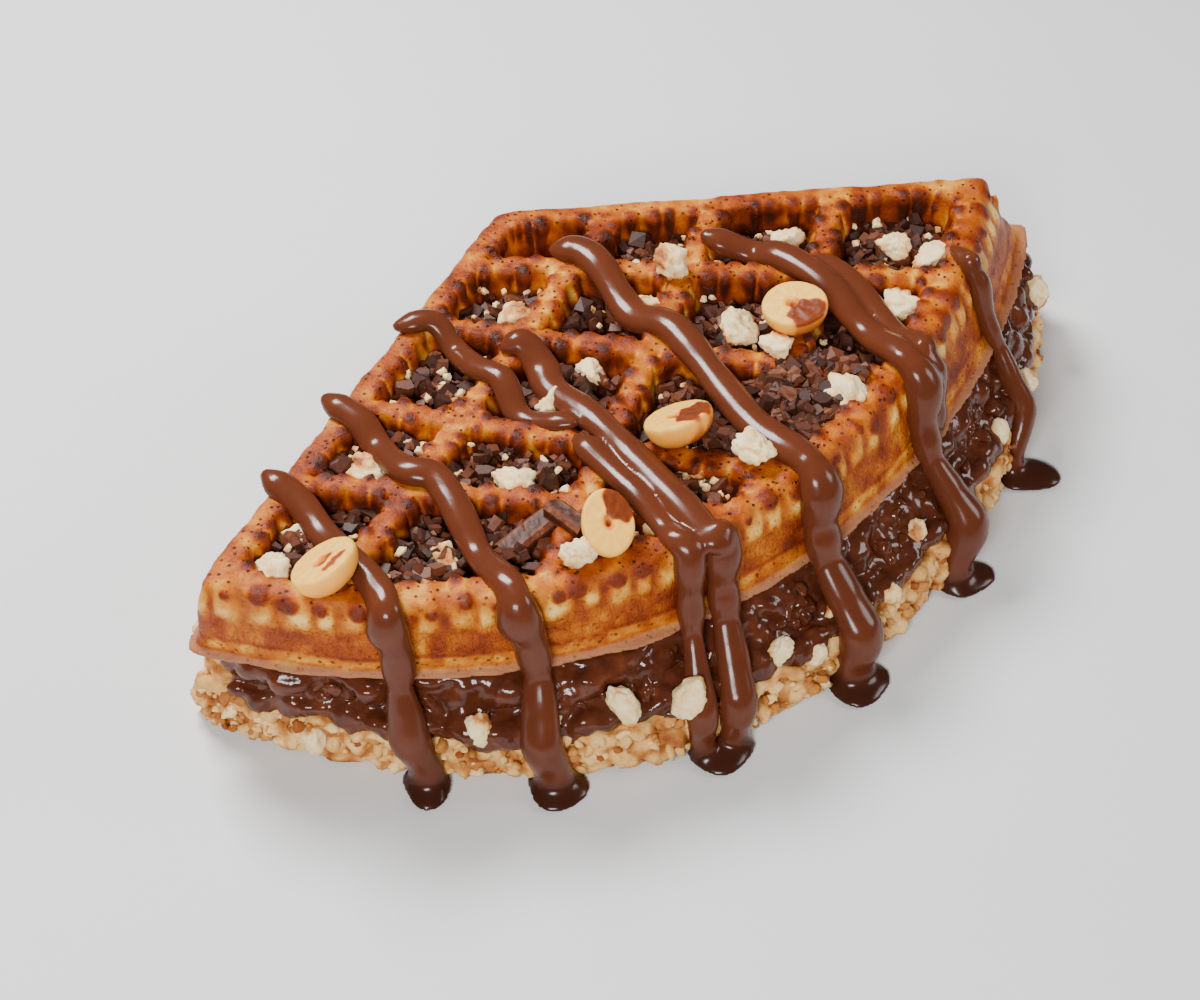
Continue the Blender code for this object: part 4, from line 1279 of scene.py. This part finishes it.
def hazelnut(name, nut, material):
    """Half a hazelnut, cut face up, where its solid is."""
    half_x, half_y = nut["size"][0] / 2, nut["size"][1] / 2
    sides = 72
    profile = half_profile()
    points, shades = [], []
    for share, depth, face in profile:
        for k in range(sides):
            angle = 2 * math.pi * k / sides
            egg = 1 + 0.07 * math.cos(angle) - 0.02 * math.cos(3 * angle)
            x, y = half_x * share * egg * math.cos(angle), half_y * share * math.sin(angle)
            place = Vector((x, y, depth))
            rough = 0.10 * blender_noise.noise(place * 0.45) + 0.05 * blender_noise.noise(place * 1.3)
            crooked = 11 * angle + 3 * blender_noise.noise(Vector((x, y, 1)))
            rays = 0.05 * math.sin(crooked) * face * min(1, share * 2)
            points.append((x, y, depth + rough + rays))
            spot = Vector((share * math.cos(angle), share * math.sin(angle)))
            brown = face_brown(nut, spot, x, y) * (0.3 + 0.7 * face)
            ring = 0.35 * near(share, 0.2, 0.06) * (0.5 + 0.5 * math.sin(2 * angle + 1))
            heart = 0.85 * near(share, 0.0, 0.12) + ring
            # Partly the belly's own tan, partly painted shade: it gets darker towards the bottom.
            belly_tone_and_shade = 0.30 * (1 - face) * min(1.0, -depth / HAZELNUT_DEPTH + 0.1)
            shades.append(0.10 + max(brown, heart * face) + belly_tone_and_shade + 0.6 * rays)
    rings = len(profile)
    faces = [
        (r * sides + k, (r + 1) * sides + k, (r + 1) * sides + (k + 1) % sides, r * sides + (k + 1) % sides)
        for r in range(rings - 1) for k in range(sides)
    ]
    faces.append(tuple(range(sides)))
    faces.append(tuple((rings - 1) * sides + k for k in reversed(range(sides))))
    forward, sideways = (math.radians(value) for value in nut["lean"])
    turn = (
        Matrix.Rotation(forward, 3, "X")
        @ Matrix.Rotation(sideways, 3, "Y")
        @ Matrix.Rotation(math.radians(nut["turn"]), 3, "Z")
    )
    placed = np.array(points) @ np.array(turn).T
    low, high = (np.array(corner) / MM + np.array(CENTRE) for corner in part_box(name))
    placed += (low + high) / 2 - (placed.min(0) + placed.max(0)) / 2
    made = thing(name + "_half", placed, faces, material, {"shade": np.array(shades)})
    return dress(made, "hazelnut", name)


# Cream

CREAM_STEP = 0.75
# Where the cream hangs deepest over the base, by angle round the middle
SKIRT_FROM, SKIRT_TO = -152.0, -86.0
COATED_LUMPS = 110


def cream_field(x, y, z):
    flat = plan_of(x, y)
    lip, base = (outline_distance(*flat, level)[:, :, None] for level in (LIP, BASE))
    fold = fold_share(*flat)[:, :, None]
    side = base + (lip - base) * (z - BASE_TOP) / (TOP_UNDER - BASE_TOP)
    lumps = 2.2 * np.abs(noise(x, y, z, 9.0, 41)) + 1.1 * np.abs(noise(x, y, z, 4.6, 42))
    side = side + 2.6 - lumps * (1 - fold) + (FOLD_THICKNESS + 2.0) * fold
    low = BASE_TOP + 0.4 - z
    high = z - (TOP_UNDER - 0.4)
    body = np.maximum(np.maximum(higher(side, low, 1.2), high), low)
    degrees = np.degrees(np.arctan2(flat[1], flat[0]))[:, :, None]
    deep = smooth((degrees - SKIRT_FROM) / 8.0) * smooth((SKIRT_TO - degrees) / 24.0)
    waves = noise(x, y, 0 * z[:, :, :1], 7.0, 46)
    droop = (2.6 * deep - 0.6 + (1.5 + 0.9 * deep) * waves) * (1 - fold)
    skirt = higher(base + 0.9 - 2.0 * deep + 0.5 * lumps, BASE_TOP + 0.2 - droop - z, 2.4)
    skirt = np.maximum(skirt, np.maximum(z - BASE_TOP - 4.0, -4.5 - base) + 20 * fold)
    return lower(body, skirt, 1.6)


def cream(material):
    points, quads = meshed(cream_field, BASE_TOP - 8, TOP_UNDER + 1, CREAM_STEP)
    points = relax(points, quads, 1, 0.5)
    at_side = smooth((outline_distance(points[:, 0], points[:, 1], LIP) + 12.0) / 3.0)
    at_side = at_side * smooth((points[:, 2] - BASE_TOP + 6.0) / 1.5)
    at_side = at_side * smooth((TOP_UNDER - 0.6 - points[:, 2]) / 1.5)
    points = lumpy(points, quads, at_side, 6.0, 3.2, 44)
    points = lumpy(points, quads, at_side, 3.0, 1.1, 45)
    points = relax(points, quads, 1, 0.5)
    return dress(thing("chocolate_cream", points, quads, material), "cream_filling", "cream_filling")


def cream_nuts(material):
    draw = random.Random(15)
    lumps = []
    for number, (degrees, z, length, width, lean) in enumerate(SIDE_NUTS):
        proud = ON_SAUCE if number == 0 else 0.0
        shape, faces, shade = crumbly(draw, (width / length, 0.85 * width / length, 1.0), 4, 0.6, 0.84)
        place = at_angle(side_radius(degrees, z) + 0.13 * length + proud, degrees, z)
        turn = Matrix.Rotation(math.radians(degrees + 90), 3, "Z")
        turn = np.array(turn @ Matrix.Rotation(math.radians(lean), 3, "Y"))
        lumps.append((shape * length @ turn.T + place, faces, shade))
    return dress(joined("cream_nuts", lumps, material, True), "cream_filling", "cream_filling")


def cream_lumps(material):
    """Chips and nuts coated in cream, which make its side knobbly."""
    draw = random.Random(23)
    lumps = []
    for _ in range(COATED_LUMPS):
        degrees = draw.uniform(-144, 50)
        z = draw.uniform(BASE_TOP + 2.2, TOP_UNDER - 3.2)
        size = draw.uniform(3.0, 6.0)
        place = at_angle(side_radius(degrees, z) - draw.uniform(1.4, 2.4), degrees, z)
        shape, faces, shade = crumbly(draw, (1.0, draw.uniform(0.6, 0.95), draw.uniform(0.5, 0.9)), 3, 0.6)
        lumps.append((tumbled(draw, shape * size, place), faces, shade))
    return dress(joined("cream_lumps", lumps, material, True), "cream_filling", "cream_filling")


# The lower waffle

BASE_STEP = 0.8
CRAG_SIZE, CRAG_SEED = 4.2, 55
# Crumbs in the torn edge: how many pile up at the left corner, lie there and along the front, and in all
CORNER_CRUMBS, FRONT_CRUMBS, ALL_CRUMBS = 60, 620, 760


def base_field(x, y, z):
    flat = plan_of(x, y)
    base = outline_distance(*flat, BASE)[:, :, None]
    fold = fold_share(*flat)[:, :, None]
    plain = pocket_walls(*flat)[0][:, :, None]
    crags = 1.9 * np.abs(noise(x, y, z, 7.0, 51)) + 1.6 * np.abs(noise(x, y, z * 1.3, 3.4, 52))
    crags = crags + 0.7 * noise(x, y, z, 1.8, 53)
    side = base + 1.7 - crags
    slab = higher(higher(side, z - BASE_TOP, 1.5), -z, 1.2)
    top = TOP_UNDER - 0.4
    wall = np.maximum(base + 2.2 - crags + 0.12 * (z - BASE_TOP), -(base + FOLD_THICKNESS + 1.0))
    wall = higher(np.maximum(wall, np.maximum(z - top, BASE_TOP - 3 - z)), (0.5 - fold) * 6, 1.0)
    body = np.minimum(slab, wall)
    hollow = higher(plain + 0.25 * z, z - UNDERSIDE_DEPTH, 1.5)
    return np.maximum(higher(body, -hollow, 1.2), 0.03 - z)


def base_attributes(points):
    x, y, z = points.T
    crumb = noise(x, y, z, 2.6, 61, 2)
    cloud = noise(x, y, z, 8.0, 62)
    inner = smooth((-outline_distance(x, y, BASE) - 4.0) / 3.0)
    under = smooth((2.0 - z) / 2.0)
    # Painted shade: the creases between the crags are made darker.
    painted_crevice_shade = smooth((seed_distance(points, CRAG_SIZE, CRAG_SEED) - 0.42) / 0.35)
    brown = 0.20 + 0.18 * np.maximum(crumb, 0) + 0.10 * cloud + 0.44 * painted_crevice_shade + 0.22 * inner + 0.30 * under
    return {"brown": brown}


def waffle_base(material):
    points, quads = meshed(base_field, -2 * BASE_STEP, TOP_UNDER + 1, BASE_STEP)
    at_side = smooth((outline_distance(points[:, 0], points[:, 1], BASE) + 6.0) / 2.5)
    at_side = at_side * smooth((points[:, 2] - 0.3) / 1.2)
    points = lumpy(points, quads, at_side, CRAG_SIZE, 2.6, CRAG_SEED)
    points = lumpy(points, quads, at_side, 2.0, 0.6, 56)
    rough = 0.5 * noise(points[:, 0], points[:, 1], points[:, 2], 2.4, 57, 2)
    points = points + normals_of(points, quads) * (rough * at_side)[:, None]
    made = thing("waffle_base", points, quads, material, base_attributes(points))
    return dress(made, "waffle_bottom", "waffle_bottom")


def base_crumbs(material):
    """Pale and golden crumbs that stick out of the torn edge."""
    draw = random.Random(21)
    lumps = []
    for i in range(ALL_CRUMBS):
        degrees = draw.uniform(-150, 60) if i < FRONT_CRUMBS else draw.uniform(60, 210)
        if i < CORNER_CRUMBS:
            degrees = draw.gauss(-147, 4)
        z = draw.uniform(0.9, 11.2)
        size = draw.choice((1.4, 1.9, 2.4, 3.0, 3.8)) * draw.uniform(0.85, 1.15)
        radius = outline_radius(BASE, degrees) + draw.uniform(-1.6, 0.9)
        place = at_angle(radius, degrees, max(z, size * 0.7))
        shape, faces, _ = crumbly(draw, (1.0, draw.uniform(0.6, 0.9), draw.uniform(0.5, 0.8)), 2, 1.3)
        golden = draw.random() < (0.75 if i < CORNER_CRUMBS else 0.45)
        brown = draw.uniform(0.45, 0.8) if golden else draw.uniform(0.0, 0.3)
        lumps.append((tumbled(draw, shape * size, place), faces, brown))
    return dress(joined("base_crumbs", lumps, material, True, "brown"), "waffle_bottom", "waffle_bottom")


# The pieces

chocolate = chocolate_material()
nut = nut_material()
hazel = hazelnut_material()
crumb = base_material()
cream_look = cream_material()
waffle_base(crumb)
base_crumbs(crumb)
cream(cream_look)
cream_lumps(cream_look)
cream_nuts(nut)
waffle_crust()
sauce()
chocolate_chips(chocolate)
chocolate_stick(chocolate)
chopped_nuts(nut)
crumbs(nut)
for label, half in HAZELNUTS.items():
    hazelnut(label, half, hazel)


# Floor, light and camera

def floor():
    size = 1.6
    mesh = bpy.data.meshes.new("floor")
    corners = [(-size, -size, 0), (size, -size, 0), (size, size, 0), (-size, size, 0)]
    mesh.from_pydata(corners, [], [(0, 1, 2, 3)])
    material, tree, shader = new_material("floor", 0.6)
    tone = node(tree, "MapRange", {"Value": object_noise(tree, 60.0), "To Min": 0.70, "To Max": 0.74})
    tree.links.new(tone.outputs[0], shader.inputs["Base Color"])
    mesh.materials.append(material)
    made = bpy.data.objects.new("floor", mesh)
    made.location.z = -0.0002
    bpy.context.scene.collection.objects.link(made)


LIGHT_TARGET = Vector((0.0, 0.0, 0.02))


def area_light(name, place, size, energy):
    lamp = bpy.data.lights.new(name, "AREA")
    lamp.shape = "RECTANGLE"
    lamp.size, lamp.size_y = size
    lamp.energy = energy
    made = bpy.data.objects.new(name, lamp)
    made.location = place
    made.rotation_euler = (LIGHT_TARGET - Vector(place)).to_track_quat("-Z", "Y").to_euler()
    bpy.context.scene.collection.objects.link(made)


def world():
    made = bpy.data.worlds.new("studio")
    made.use_nodes = True
    back = made.node_tree.nodes["Background"]
    back.inputs["Color"].default_value = (1.0, 0.99, 0.97, 1.0)
    back.inputs["Strength"].default_value = 0.10
    bpy.context.scene.world = made


CAMERA_TARGET = Vector((-0.00977, 0.000221, 0.012))
CAMERA_ELEVATION = math.radians(45.786)
CAMERA_DISTANCE = 0.6225
CAMERA_WIDTH = math.radians(24.0)


def camera():
    lens = bpy.data.cameras.new("camera")
    lens.sensor_width = 36.0
    lens.lens = 18.0 / math.tan(CAMERA_WIDTH / 2)
    lens.clip_start = 0.01
    made = bpy.data.objects.new("camera", lens)
    back = Vector((0, -math.cos(CAMERA_ELEVATION), math.sin(CAMERA_ELEVATION)))
    made.location = CAMERA_TARGET + back * CAMERA_DISTANCE
    made.rotation_euler = (math.pi / 2 - CAMERA_ELEVATION, 0, 0)
    bpy.context.scene.collection.objects.link(made)
    bpy.context.scene.camera = made


floor()
area_light("key", (-0.26, 0.30, 0.55), (0.26, 0.18), 8.2)
area_light("front", (-0.12, -0.60, 0.50), (0.26, 0.18), 6.4)
area_light("side", (0.60, 0.02, 0.35), (0.24, 0.24), 1.8)
world()
camera()
